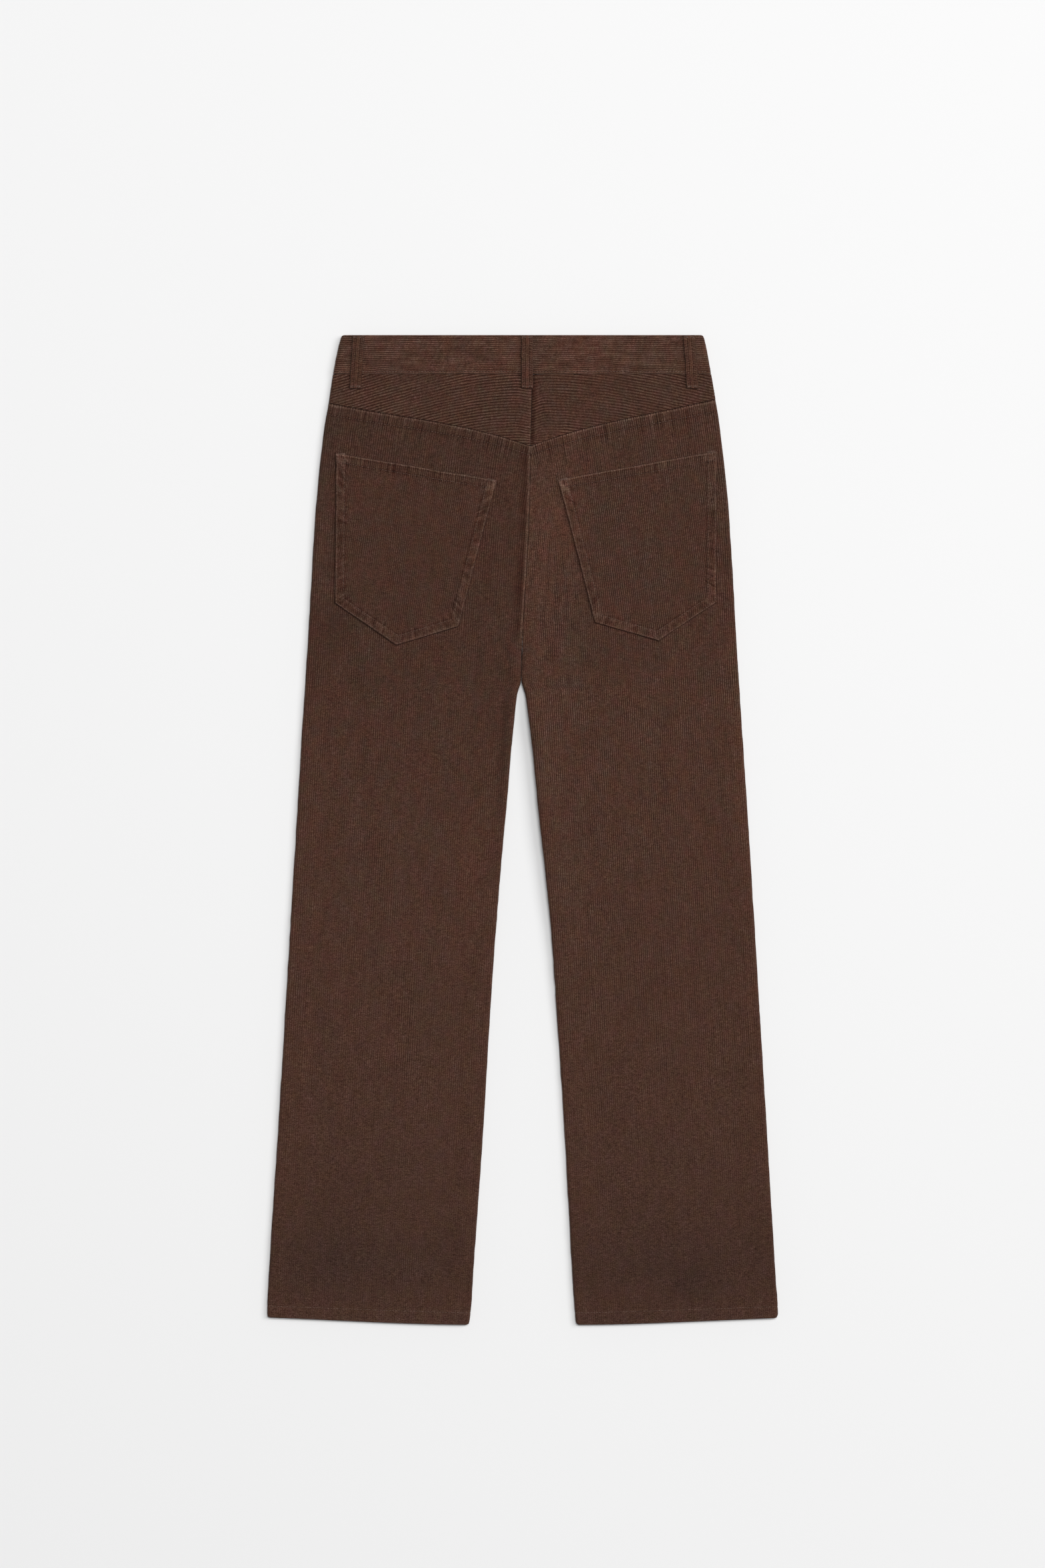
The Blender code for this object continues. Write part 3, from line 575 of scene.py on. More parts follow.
def weight_at(place, x, y):
    """1 in the middle of a patch or spot, and less away from it."""
    lean = math.radians(place.lean)
    along = (y - place.y) * math.cos(lean) + (x - place.x) * math.sin(lean)
    across = (x - place.x) * math.cos(lean) - (y - place.y) * math.sin(lean)
    return bell(across, place.half_width) * bell(along, place.half_length)


def clearness(x, y):
    """How clearly the ribs stand out at points seen from above, near 1."""
    return 1.0 + sum(spot.clear * weight_at(spot, x, y) for spot in SPOTS)


def shade_at(x, y, tone, warmth, patches=PATCHES):
    """Colour factors of the cloth at points seen from above."""
    tone = tone + np.zeros(np.shape(x))
    warmth = warmth + np.zeros(np.shape(x))
    for patch in patches:
        weight = weight_at(patch, x, y)
        tone = tone + patch.tone * weight
        warmth = warmth + patch.warmth * weight
    return np.stack([tone * (1 + warmth), tone, tone * (1 - warmth), np.ones_like(tone)], axis=-1)


def bend(arc, share, angle):
    """Reach, drop and turn of a bend of constant length, a share of it from the flat."""
    turn = angle * share
    radius = arc / np.maximum(angle, SMALL_ANGLE)
    straight = angle < SMALL_ANGLE
    reach = np.where(straight, arc * share, radius * np.sin(turn))
    drop = np.where(straight, 0.0, radius * (1 - np.cos(turn)))
    return reach, drop, turn


def section(outer_end, inner_end, inner_angle, depth, shares, start=0.0, cut_off=0.0):
    """Points of a panel's rows, from the outer end over the bend and the flat to the inner end.

    The outer end turns by a quarter. A row may start past its outer end and stop a cut-off length before
    its inner end.
    """
    (outer_end_x, outer_end_y), (inner_end_x, inner_end_y) = outer_end, inner_end
    arc = depth * QUARTER
    width = np.abs(inner_end_x - outer_end_x)
    toward = np.sign(inner_end_x - outer_end_x)
    outer_fold, inner_fold = (bend(arc, 1.0, angle)[0] for angle in (QUARTER, inner_angle))
    length = width - outer_fold - inner_fold + 2 * arc
    along = start + shares * (length - cut_off - start)
    outer_reach, outer_drop, outer_turn = bend(arc, np.clip((arc - along) / arc, 0, 1), QUARTER)
    inner_reach, inner_drop, inner_turn = bend(arc, np.clip((along - length + arc) / arc, 0, 1), inner_angle)
    distance = outer_fold - outer_reach + np.clip(along, arc, length - arc) - arc + inner_reach
    share = distance / width
    return SimpleNamespace(
        x=outer_end_x + toward * distance,
        y=outer_end_y + (inner_end_y - outer_end_y) * share,
        drop=outer_drop + inner_drop,
        turn=inner_turn - outer_turn,
        toward=toward,
        share=share,
        along=along,
        from_inner=length - along,
        length=length,
    )


def normals(sec, up=1.0):
    """Outward directions of a section's points; up is -1 for the garment's front."""
    return points(sec.toward * np.sin(sec.turn), 0.0, up * np.cos(sec.turn))


# --- Relief and brightness of the cloth ---
# Amounts of relief are in millimetres, and amounts of "ribs" are brightness: 0 in a groove, 1 on a rib.
# This brightness is partly the pile's own colour and partly painted light: painted shade in grooves, pits
# and beside seams, and painted highlights and sheen on ribs and folded edges

def rib_profile(wales):
    """Height from 0 to 1 across the ribs: 0 in the groove at each whole number."""
    return (0.5 - 0.5 * np.cos(2 * math.pi * wales)) ** WALE_SHARPNESS


def nap(seed, profile, across, along, press=1.0):
    """Relief and brightness of the ribs: uneven in height and clearness, as brushed pile is; the brightness
    is partly painted shade in the grooves and painted sheen on the ribs.
    """

    def uneven(number, width, length):
        return noise(seed + number, across / width, along / length)

    size = 1.0 + 0.07 * uneven(0, 2.2, 9.0) + 0.05 * uneven(1, 9.0, 24.0)
    clear = 1.0 + 0.48 * uneven(8, 15.0, 26.0) + 0.3 * uneven(9, 7.0, 9.0)
    ribs = WALE_MEAN + (profile * size - WALE_MEAN) * press * np.clip(clear, 0.15, 1.8)
    return -WALE_DEPTH * (1.0 - ribs), ribs


def round_fold(relief, sec):
    """Ribs are pressed flatter where the cloth turns round the garment's side."""
    return relief * (0.35 + 0.65 * np.cos(sec.turn))


def edge_drop(distance, radius):
    """How far a rounded edge lies below its surface, at a distance in from its end."""
    inside = np.clip(1.0 - distance / radius, 0.0, 1.0)
    return radius * (1.0 - np.sqrt(1.0 - inside * inside))


def ladder(seed, along_seam, fineness):
    """Narrow uneven ridges that cross a sewn seam, from 0 to 1."""
    return smooth(drift(seed, along_seam, fineness), 0.15, 0.75)


def rung_pair(seeds, along_seam, fineness):
    """Ridges and grooves that cross a sewn seam, from -1 to 1."""
    return ladder(seeds[0], along_seam, fineness) - ladder(seeds[1], along_seam, fineness - 0.2)


def beads(seed, along_seam, spacing):
    """Rounded lumps of cloth between the stitches at a folded edge, fading in and out, from 0 up."""
    phase = along_seam / spacing + 0.3 * drift(seed, along_seam, 9.0)
    return wave(phase) * np.clip(1.0 + 0.8 * drift(seed + 1, along_seam, 11.0), 0.2, 1.8)


def needle_holes(seed, along_seam, from_row):
    """Pits of a row of stitches, from 0 to 1."""
    return wave(along_seam / STITCH_SPACING + 0.2 * drift(seed, along_seam, 11.0)) * bell(from_row, 0.55)


def puckers(seed, along_seam, from_seam, width):
    """Small ripples across a seam, where its stitches draw the cloth in."""
    phase = along_seam / PUCKER_SPACING + 0.9 * noise(seed, along_seam / 17.0, 0.0)
    size = 0.65 + 0.35 * drift(seed + 1, along_seam, 9.0)
    return PUCKER_HEIGHT * size * np.sin(2 * math.pi * phase) * bell(from_seam, width)


def shift(surface, seed, across, along):
    """Sideways wobble of the ribs."""
    surface[..., 0] += WOBBLE * noise(seed + 2, across / 3.5, along / 10.0)
    return surface


# --- Meshes ---

def coarse_steps(count, step):
    return sorted(set(range(0, count, step)) | {count - 1})


def shell_mesh(name, surface, normal, relief, wall, step_rows, step_columns):
    """A closed thin shell: a fine outer face with relief, and a coarse inner one."""
    rows, columns = surface.shape[:2]
    outer = surface + normal * relief[..., None]
    inner_rows, inner_columns = coarse_steps(rows, step_rows), coarse_steps(columns, step_columns)
    pick = np.ix_(inner_rows, inner_columns)
    wall = np.broadcast_to(wall, (rows, columns))[pick]
    inner = surface[pick] - normal[pick] * wall[..., None]
    outer_index = np.arange(rows * columns).reshape(rows, columns)
    inner_index = rows * columns + np.arange(inner[..., 0].size).reshape(inner.shape[:2])

    def quads(index):
        corners = index[:-1, :-1], index[:-1, 1:], index[1:, 1:], index[1:, :-1]
        return np.stack(corners, -1).reshape(-1, 4)

    faces = quads(outer_index).tolist() + quads(inner_index)[:, ::-1].tolist()
    sides = (
        (outer_index[0], inner_index[0], inner_columns),
        (outer_index[:, -1], inner_index[:, -1], inner_rows),
        (outer_index[-1, ::-1], inner_index[-1, ::-1], [columns - 1 - c for c in reversed(inner_columns)]),
        (outer_index[::-1, 0], inner_index[::-1, 0], [rows - 1 - r for r in reversed(inner_rows)]),
    )
    for fine, coarse, stops in sides:
        for k in range(len(stops) - 1):
            path = fine[stops[k] : stops[k + 1] + 1]
            faces.append(path[::-1].tolist() + [int(coarse[k]), int(coarse[k + 1])])
    first = np.cross(outer[0, 1] - outer[0, 0], outer[1, 0] - outer[0, 0])
    if np.dot(first, normal[0, 0]) < 0:
        faces = [face[::-1] for face in faces]
    return mesh_object(name, np.concatenate([outer.reshape(-1, 3), inner.reshape(-1, 3)]), faces)


def mesh_object(name, vertices, faces):
    mesh = bpy.data.meshes.new(name)
    mesh.from_pydata((np.asarray(vertices) * MM).tolist(), [], faces)
    mesh.shade_smooth()
    obj = bpy.data.objects.new(name, mesh)
    bpy.context.scene.collection.objects.link(obj)
    return obj


def dress(obj, material, node=None):
    """Gives a piece its material, slot and body, and hides the solid of the node that it stands for, if any.
    """
    obj.data.materials.append(materials[material])
    if node:
        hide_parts(node)
    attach(obj, "root")


def add_attribute(obj, name, kind, values):
    """Values for the outer face's points; the inner face gets the last of them."""
    attribute = obj.data.attributes.new(name, kind, "POINT")
    values = np.asarray(values, np.float32)
    missing = len(obj.data.vertices) - len(values)
    values = np.concatenate([values, np.repeat(values[-1:], missing, axis=0)])
    key = {"FLOAT": "value", "FLOAT_VECTOR": "vector", "FLOAT_COLOR": "color"}[kind]
    attribute.data.foreach_set(key, values.ravel())


def cloth(node, surface, normal, relief, wall, ribs, shade, lay, steps=(8, 8)):
    """Makes the shell that stands for a node and gives it what its material reads.

    Lay is the place of each point across and along the ribs. Each step of the inner face spans this many
    rows and columns of the outer one.
    """
    obj = shell_mesh(node + "_cloth", surface, normal, relief, wall, *steps)
    ribs = np.broadcast_to(ribs, surface.shape[:2])
    # Ribs below the darkest groove darken the whole colour: this deepens the painted shade at seams, edges
    # and needle pits
    shade[..., :3] *= 1.0 / (1.0 + GROOVE_GLOOM * np.maximum(DARKEST_GROOVE - ribs, 0.0))[..., None]
    add_attribute(obj, "rib", "FLOAT", np.maximum(ribs, DARKEST_GROOVE).reshape(-1))
    add_attribute(obj, "shade", "FLOAT_COLOR", shade.reshape(-1, 4))
    add_attribute(obj, "lay", "FLOAT_VECTOR", (points(*lay, 0.0) * MM).reshape(-1, 3))
    dress(obj, "corduroy", node)


# What was made so far: each node's stitches, and the materials
sewn = {}
materials = {}


# --- Panels ---

def hem_profile():
    """Heights and insets of the rounded fold at the bottom."""
    turns = np.radians([0.0, 30.0, 60.0, 90.0])
    return HEM_Y + HEM_FOLD * (1 - np.cos(turns)), HEM_FOLD * (1 - np.sin(turns))


def bow_shape(share):
    """Height of a bowed row above its straight line: 1 at its fullest, two thirds of the way in."""
    return 6.75 * share * share * (1 - share)


def panel_section(side, heights, shares, front=False, bowed=True):
    """A panel's rows from their heights at the inner end, bowed below the yoke and at the hem."""
    y = heights[:, None]
    slant = slant_curve[side](y)
    if not bowed:
        slant = slant * fade(y, CROTCH_Y - 1.0, CROTCH_Y)
    outer_y = y + slant
    inner_end = (front_inner_x if front else inner_x)(side, y), y
    sec = section((outer_curve[side](outer_y), outer_y), inner_end, leg_fold_angle(y), TOP_DEPTH, shares)
    sec.row_y = y + np.zeros_like(sec.x)
    if bowed:
        bow = YOKE_BOW[side] * smooth(y, YOKE_BOW_START_Y, YOKE_SEAM_Y)
        bow = bow + HEM_BOW * fade(y, HEM_Y, HEM_Y + HEM_BOW_FADE)
        sec.y = sec.y + bow * bow_shape(sec.share)
    return sec


def hem_relief(sec, insets):
    """The hem's rounded edge, and the dip and ripples along its stitches."""
    inset = np.zeros(sec.x.shape)
    inset[: len(insets)] = insets[:, None]
    from_row = sec.row_y - HEM_Y - HEM_ROW
    ripples = puckers(HEM_SEED, sec.along, from_row, 5.0) * (inset == 0)
    return -inset - 0.22 * bell(from_row, 1.0) + 0.12 * bell(from_row + 5.0, 4.0) + ripples


def hem_nap(seed, sec):
    """The hem's edge is worn lighter, and its stitches show as a faint light row."""
    from_edge = sec.row_y - HEM_Y
    row = 0.12 * bell(from_edge - HEM_ROW, 1.2) * (1 + drift(seed + 16, sec.along, 2.0))
    return 0.2 * bell(from_edge, 2.2) + row


def hem_wall(row_y):
    return np.where(row_y < HEM_Y + HEM_TURN_UP, HEM_CLOTH, CLOTH)


def yoke_fell(below):
    return fade(below, YOKE_FELL_WIDTH, YOKE_FELL_WIDTH + FELL_STEP)


def yoke_seam(seed, sec, below):
    """Relief and brightness of the felled seam under the yoke, with two rows of stitches; the brightness
    paints a beaded highlight and a shadow line at the folded edge, and shade in the needle pits and along
    the second row.
    """
    level = np.cos(sec.turn)
    reach = 16.0 + 12.0 * drift(seed + 18, sec.along, 9.0)
    rungs = rung_pair((seed + 11, seed + 17), sec.along, 1.5)
    rungs = rungs * fade(below, reach - 6.0, reach + 6.0) * smooth(below, 0.2, 1.5) * level
    holes = needle_holes(seed + 13, sec.along, below - YOKE_SECOND_ROW)
    lump = beads(seed + 14, sec.along, SEAM_BEADS)
    relief = FELL_HEIGHT * yoke_fell(below) * level**2 - edge_drop(below, SEAM_ROUND)
    relief = relief + 0.32 * rungs - 0.35 * holes
    relief = relief + 1.8 * puckers(YOKE_SEAM_SEED, sec.along, below - 5.5, 5.5) * level
    relief = relief + 0.3 * lump * bell(below - 1.3, 0.9)
    # Darker needle holes and second row: painted shade in the pits and in the row's groove
    ribs = 0.55 * rungs - 0.9 * holes - 0.25 * bell(below - YOKE_SECOND_ROW, 0.9)
    # Lighter beads where the ribs turn over the folded edge: painted highlight; the dark line at the seam:
    # painted shadow
    ribs = ribs + (0.35 + 1.3 * lump) * bell(below - 1.2, 0.8) - 0.8 * (1 - lump) * bell(below - 0.2, 0.7)
    return relief, ribs


def centre_seam(side, seed, sec, below):
    """Relief and brightness of the centre-back seam, which is felled on the left; its brightness has a
    painted highlight along the right panel's edge and a painted shadow beside the fell.
    """
    sewn_here = beside_seam(sec.y)
    lumps = 1.0 + 0.7 * drift(seed + 15, sec.row_y, 5.5)
    relief = sewn_here * puckers(CENTRE_SEAM_SEED, sec.row_y, sec.from_inner - 3.0, 4.0)
    if side == "right":
        # A light line along the right panel's folded edge: painted highlight where the edge faces the light
        ribs = 0.4 * sewn_here * lumps * bell(sec.from_inner - 1.4, 1.1)
        return relief - 0.5 * sewn_here * bell(sec.from_inner, 0.9), ribs
    fell = fade(sec.from_inner, CENTRE_FELL_WIDTH, CENTRE_FELL_WIDTH + 1.0) * sewn_here
    relief = relief + FELL_HEIGHT * np.maximum(fell - yoke_fell(below), 0.0)
    relief = relief + 0.35 * sewn_here * lumps * bell(sec.from_inner - 1.0, 1.2)
    # dark is painted shadow, in a band beside the raised fell
    dark = 0.5 * bell(sec.from_inner - 4.4, 1.5) + 0.25 * bell(sec.from_inner - 8.0, 2.5)
    return relief, sewn_here * lumps * (0.95 * bell(sec.from_inner - 0.9, 1.1) - dark)


def back_panel(side, seed):
    hem, insets = hem_profile()
    middle = np.linspace(HEM_Y + 16.0, YOKE_SEAM_LOW - 27.0, BACK_ROWS)
    ends = HEM_Y + np.array(ROWS_ABOVE_HEM), YOKE_SEAM_LOW - np.array(ROWS_BELOW_YOKE)
    heights = np.concatenate([hem, ends[0], middle, ends[1]])
    sec = panel_section(side, heights, np.linspace(0.0, 1.0, PANEL_WALES[side] * COLUMNS_A_WALE + 1))
    pitch = sec.length[np.searchsorted(heights, APEX_Y)] / PANEL_WALES[side]
    surface = points(sec.x, sec.y, back_height(side, sec.x, sec.y) - sec.drop)
    surface = shift(surface, seed, sec.along, sec.row_y)
    press = soft_curve(PANEL_LOOK, "press_" + side)(sec.row_y) * clearness(sec.x, sec.y)
    relief, ribs = nap(seed, rib_profile(sec.along / pitch), sec.along, sec.row_y, press)
    below = YOKE_SEAM_LOW - sec.row_y
    yoke_relief, yoke_ribs = yoke_seam(seed, sec, below)
    centre_relief, centre_ribs = centre_seam(side, seed, sec, below)
    relief = round_fold(relief, sec) + hem_relief(sec, insets) + yoke_relief + centre_relief
    ribs = ribs + hem_nap(seed, sec) + yoke_ribs + centre_ribs
    tone = soft_curve(PANEL_LOOK, "tone_" + side)(sec.row_y)
    shade = shade_at(sec.x, sec.y, tone, 0.0)
    lay = sec.along, sec.row_y
    cloth("back_panel_" + side, surface, normals(sec), relief, hem_wall(sec.row_y), ribs, shade, lay)


def front_panel(side, seed):
    hem, insets = hem_profile()
    middle = np.linspace(HEM_Y + 18.0, BAND_SEAM_Y - SEAM_GAP / 2, FRONT_ROWS)
    heights = np.concatenate([hem, HEM_Y + np.array(FRONT_ROWS_ABOVE_HEM), middle])
    wales = np.arange(PANEL_WALES[side] * FRONT_COLUMNS_A_WALE + 1) / FRONT_COLUMNS_A_WALE
    sec = panel_section(side, heights, wales / PANEL_WALES[side], True, False)
    from_edge = np.minimum(sec.along, sec.from_inner)
    rise = folds_depth(FRONT_CREASES, sec.x, sec.y) * smooth(from_edge, *FOLD_FADE)
    from_inner = np.abs(inner_x(side, sec.row_y) - sec.x)
    rise = rise + thigh_lift(side, from_inner, sec.row_y, THIGH_LIFT_WIDTH_BELOW)
    surface = shift(points(sec.x, sec.y, sec.drop + rise), seed, sec.along, sec.row_y)
    relief, ribs = nap(seed, rib_profile(wales), sec.along, sec.row_y, FRONT_PRESS)
    relief = round_fold(relief, sec) + np.minimum(hem_relief(sec, insets), 0.0)
    relief = relief - beside_seam(sec.y) * 0.5 * bell(sec.from_inner, 0.9)
    shade = shade_at(sec.x, sec.y, 1.0, 0.0, ())
    lay = sec.along, sec.row_y
    cloth("front_panel_" + side, surface, normals(sec, -1.0), relief, hem_wall(sec.row_y), ribs, shade, lay)


def yoke_seam_y(side, x):
    """Height of the yoke seam where it passes a place across the garment."""
    end_y = YOKE_LOW + slant_curve[side](YOKE_SEAM_Y)
    end_x = outer_curve[side](end_y)
    share = np.clip((x - end_x) / (inner_x(side, YOKE_LOW) - end_x), 0.0, 1.0)
    return YOKE_LOW + (end_y - YOKE_LOW) * (1 - share) + YOKE_BOW[side] * bow_shape(share)


def yoke_fall(side, distance):
    """How far a rib has come down at a distance from the centre seam."""
    arch = YOKE_ARCH[side]
    past = np.maximum(distance - arch.level_until, 0.0) / arch.length
    return arch.slope * arch.length * (np.sqrt(1 + past * past) - 1)


def length_past_fold(distance):
    """Length along the cloth from the panel's outer end to a distance in from its outline."""
    arc = TOP_DEPTH * QUARTER
    turn = np.arcsin(np.clip(1 - distance / TOP_DEPTH, 0.0, 1.0))
    return np.where(distance < TOP_DEPTH, arc * (1 - turn / QUARTER), distance - TOP_DEPTH + arc)


def yoke_rows(side):
    """Rows along the ribs, each cut off where it meets the waistband, the seam or the side.

    Each has its level at the centre, the centre's and the outline's place, and the lengths cut off at
    its outer and its inner end.
    """
    tries = np.linspace(0.0, 1.0, YOKE_TRIES)
    rows = []
    level = YOKE_LOW
    while True:
        level += YOKE_PITCH / COLUMNS_A_WALE
        centre = inner_x(side, min(level, YOKE_TOP))
        reach = 200.0
        for _ in range(4):
            reach = abs(outer_curve[side](level - yoke_fall(side, reach)) - centre)
        distance = tries * reach
        y = level - yoke_fall(side, distance)
        held = (y <= YOKE_TOP) & (y >= yoke_seam_y(side, centre + TOWARD_LEG[side] * distance))
        if not held.any():
            return (np.array(column)[:, None] for column in zip(*rows))
        first, last = distance[held][[0, -1]]
        if last - first > SHORTEST_YOKE_ROW:
            rows.append((level, centre, reach, reach - last, first))


def back_yoke(side, seed):
    level, centre, reach, start, cut_off = yoke_rows(side)
    outer_end = centre + TOWARD_LEG[side] * reach, level - yoke_fall(side, reach)
    shares = np.linspace(0.0, 1.0, YOKE_COLUMNS)
    sec = section(outer_end, (centre, level), 0.0, TOP_DEPTH, shares, length_past_fold(start), cut_off)
    distance = np.abs(sec.x - centre)
    arch = YOKE_ARCH[side]
    y = level - yoke_fall(side, distance)
    wobble = 1.5 * WOBBLE * noise(seed + 2, level / 4.0, sec.along / 9.0)
    seam_y = yoke_seam_y(side, sec.x)
    inside = np.minimum(YOKE_TOP - y, y - seam_y)
    droop = arch.droop * bell(distance, arch.droop_width) * smooth(inside, 0.0, 14.0)
    y = y + wobble * smooth(inside, 0.5, 4.0) - droop
    surface = points(sec.x, y, back_height(side, sec.x, y) - sec.drop)
    across = level + 0 * sec.x
    relief, ribs = nap(seed, rib_profile(level / YOKE_PITCH), across, sec.along, YOKE_PRESS[side])
    relief = round_fold(relief, sec) + puckers(YOKE_SEED, sec.along, y - seam_y, 5.0) * np.cos(sec.turn)
    lumps = 1.0 + 0.6 * drift(seed + 15, level, 2.4)
    if side == "left":
        relief = relief - edge_drop(distance, 0.7) + 0.3 * bell(distance - 0.8, 0.8)
        ribs = ribs + 0.5 * lumps * bell(distance - 0.9, 0.8)
        ribs = ribs + 0.4 * (lumps - 0.8) * bell(distance - 5.0, 3.5)
    else:
        relief = relief - 1.1 * bell(distance, 2.6)
        # A darker band beside the centre seam: painted shadow in the seam's groove
        ribs = ribs - 0.55 * lumps * bell(distance - 1.6, 2.0)
    shade = shade_at(sec.x, y, YOKE_TONE, 0.0)
    cloth("back_yoke_" + side, surface, normals(sec), relief, CLOTH, ribs, shade, (across, sec.along))


# --- Waistband ---

def band_profile(rows_a_wale):
    """Heights of the band's rows, their insets at its rounded edges, and the ribs' profile."""
    bottom = BAND_SEAM_Y + BAND_TUCK
    count = round((WAIST_Y - bottom) / BAND_PITCH)
    wales = np.arange(count * rows_a_wale + 1)[:, None] / rows_a_wale
    heights = bottom + (WAIST_Y - bottom) * wales / count
    insets = np.maximum(edge_drop(heights - bottom, SEAM_ROUND), edge_drop(WAIST_Y - heights, WAIST_ROUND))
    return heights, insets, rib_profile(wales)


def band_cloth(node, sec, z, back, profile, seed):
    heights, insets, ribs = profile
    surface = points(sec.x, sec.y, z)
    wobble = noise(seed + 2, sec.y / 5.0, sec.along / 14.0)
    wobble = wobble + 0.6 * noise(seed + 3, sec.y / 4.0, sec.along / 6.0)
    surface[..., 1] += 1.3 * WOBBLE * wobble * smooth(insets, 0.2, 0.0)
    relief, rib = nap(seed, ribs, sec.y, sec.along, BAND_PRESS if back else FRONT_PRESS)
    from_row = heights - (BAND_SEAM_Y + BAND_ROW)
    holes = needle_holes(seed + 12, sec.along, from_row)
    relief = round_fold(relief, sec) - insets - 0.2 * holes + puckers(seed + 5, sec.along, from_row, 5.0)
    edge = bell(heights - BAND_SEAM_Y - 0.6, 0.7) + 0.5 * bell(WAIST_Y - heights, 0.9)
    # The needle holes are darker: painted shade in the pits
    rib = rib + 0.35 * edge - 0.6 * holes + 0.34 * noise(seed + 17, sec.y / 1.9, sec.along / 12.0)
    rib = rib + 0.2 * noise(seed + 18, sec.y / 3.0, sec.along / 4.5)
    shade = shade_at(sec.x, sec.y, *BAND_SHADE, PATCHES if back else ())
    outward = normals(sec, 1.0 if back else -1.0)
    cloth(node, surface, outward, relief, BAND_CLOTH - 0.2, rib, shade, (sec.y, sec.along), (6, 8))


def waistband_back(seed):
    profile = band_profile(COLUMNS_A_WALE)
    y = profile[0]
    ends = ((outer_curve[side](y), y) for side in SIDES)
    sec = section(*ends, QUARTER, BAND_DEPTH, np.linspace(0.0, 1.0, BAND_COLUMNS))
    from_side = np.minimum(sec.along, sec.from_inner)
    sag = 0.25 * noise(SAG_SEED, sec.x / 45.0, sec.y / 60.0) * smooth(from_side, 6.0, 20.0)
    band_cloth("waistband_back", sec, BAND_HEIGHT - sec.drop + sag - 0.2, True, profile, seed)


def underlap(x):
    """How far the right end of the band stands higher, over the left one."""
    return (BAND_CLOTH + SEAM_GAP) * fade(x, OVERLAP + 2.0, OVERLAP + UNDERLAP_RISE)


def waistband_front(side, seed):
    """Two ends that overlap at the button: the left one lies lowest and has the button's dimple."""
    profile = band_profile(FRONT_COLUMNS_A_WALE)
    y = profile[0]
    reach = -TOWARD_LEG[side] * OVERLAP
    shares = np.concatenate([np.linspace(0.0, 0.84, 42), np.linspace(0.85, 1.0, 32)])
    sec = section((outer_curve[side](y), y), (reach + 0 * y, y), 0.0, BAND_DEPTH, shares)
    from_button = np.hypot(sec.x - BUTTON_X, sec.y - BUTTON_Y)
    dimple = (BUTTON_HEAD + SEAM_GAP) * fade(from_button, BUTTON_RADIUS + 0.2, BUTTON_RADIUS + 1.2)
    rise = dimple if side == "left" else underlap(sec.x)
    band_cloth("waistband_front_" + side, sec, sec.drop + rise, False, profile, seed)


# --- Pockets ---

def pocket_edges(side):
    """Corners in order, and each edge's inward direction."""
    corners = np.array(POCKETS[side])
    following = np.roll(corners, -1, axis=0)
    direction = (following - corners) / np.linalg.norm(following - corners, axis=1)[:, None]
    return corners, following, np.stack([direction[:, 1], -direction[:, 0]], axis=-1)


def pocket_distances(side, x, y):
    """How far points lie inside the pocket's top edge and inside its nearest other edge."""
    corners, _, inward = pocket_edges(side)
    distances = [(x - c[0]) * n[0] + (y - c[1]) * n[1] for c, n in zip(corners, inward)]
    return distances[0], np.minimum.reduce(distances[1:])


def pocket_height(side, x, y):
    """Height of the pocket's outer surface, before its ribs."""
    from_top, from_side = pocket_distances(side, x, y)
    edge_band = fade(from_side, POCKET_EDGE_WIDTH, POCKET_EDGE_WIDTH + FELL_STEP)
    hem_band = fade(from_top, POCKET_HEM_WIDTH, POCKET_HEM_WIDTH + FELL_STEP)
    rise = POCKET_CLOTH + SEAM_GAP + POCKET_EDGE_RAISE * np.maximum(edge_band, hem_band)
    dips = 0.1 * bell(from_side - FIRST_ROW, 0.6) + 0.2 * bell(from_side - POCKET_SECOND_ROW, 0.7)
    return back_height(side, x, y) + rise - dips - 0.15 * bell(from_top - POCKET_HEM_ROW, 0.7)


def pocket_stops(length):
    """Distances along a rib from the pocket's top edge, closer at both ends."""
    top, bottom = np.array(STOPS_BELOW_TOP), np.array(STOPS_ABOVE_END)
    squeeze = min(1.0, length / (top[-1] + bottom[0] + 4.0))
    middle = np.linspace(top[-1] * squeeze, length - bottom[0] * squeeze, POCKET_ROWS)[1:-1]
    return np.concatenate([top * squeeze, middle, length - bottom * squeeze])


def pocket_lines(side):
    """Points on lines along the pocket's ribs, with their places across and along the ribs."""
    corners, following, _ = pocket_edges(side)
    lean = POCKET_LEAN[side]
    up = np.array([math.sin(lean), math.cos(lean)])
    across = np.array([math.cos(lean), -math.sin(lean)])
    first, last = (corners @ across).min() + 0.12, (corners @ across).max() - 0.12
    places = np.linspace(first, last, round((last - first) / POCKET_PITCH) * COLUMNS_A_WALE + 1)
    lines = []
    for place in places:
        start, end = corners @ across - place, following @ across - place
        crossed = start * end < 0
        share = start[crossed] / (start[crossed] - end[crossed])
        ends = corners[crossed] + share[:, None] * (following - corners)[crossed]
        heights = ends @ up
        stops = pocket_stops(heights.max() - heights.min())
        lines.append(ends[heights.argmax()][None, :] - stops[:, None] * up[None, :])
    flat = np.array(lines).transpose(1, 0, 2)
    return flat[..., 0], flat[..., 1], places + np.zeros(flat.shape[:2]), flat @ up


def corner_nap(side, x, y):
    """The upper corners, stitched over many times, are worn lighter."""
    total = 0.0
    for corner in POCKETS[side][:2]:
        inward = np.sign(np.mean([c[0] for c in POCKETS[side]]) - corner[0])
        across = np.abs((x - corner[0]) * inward - 6.5)
        down = np.abs(corner[1] - y - 5.0)
        worn = 0.75 + 0.45 * noise(CORNER_SEED, x / 1.8, y / 4.0)
        total = total + worn * fade(across, 5.0, 8.0) * fade(down, 4.5, 7.0)
    return total


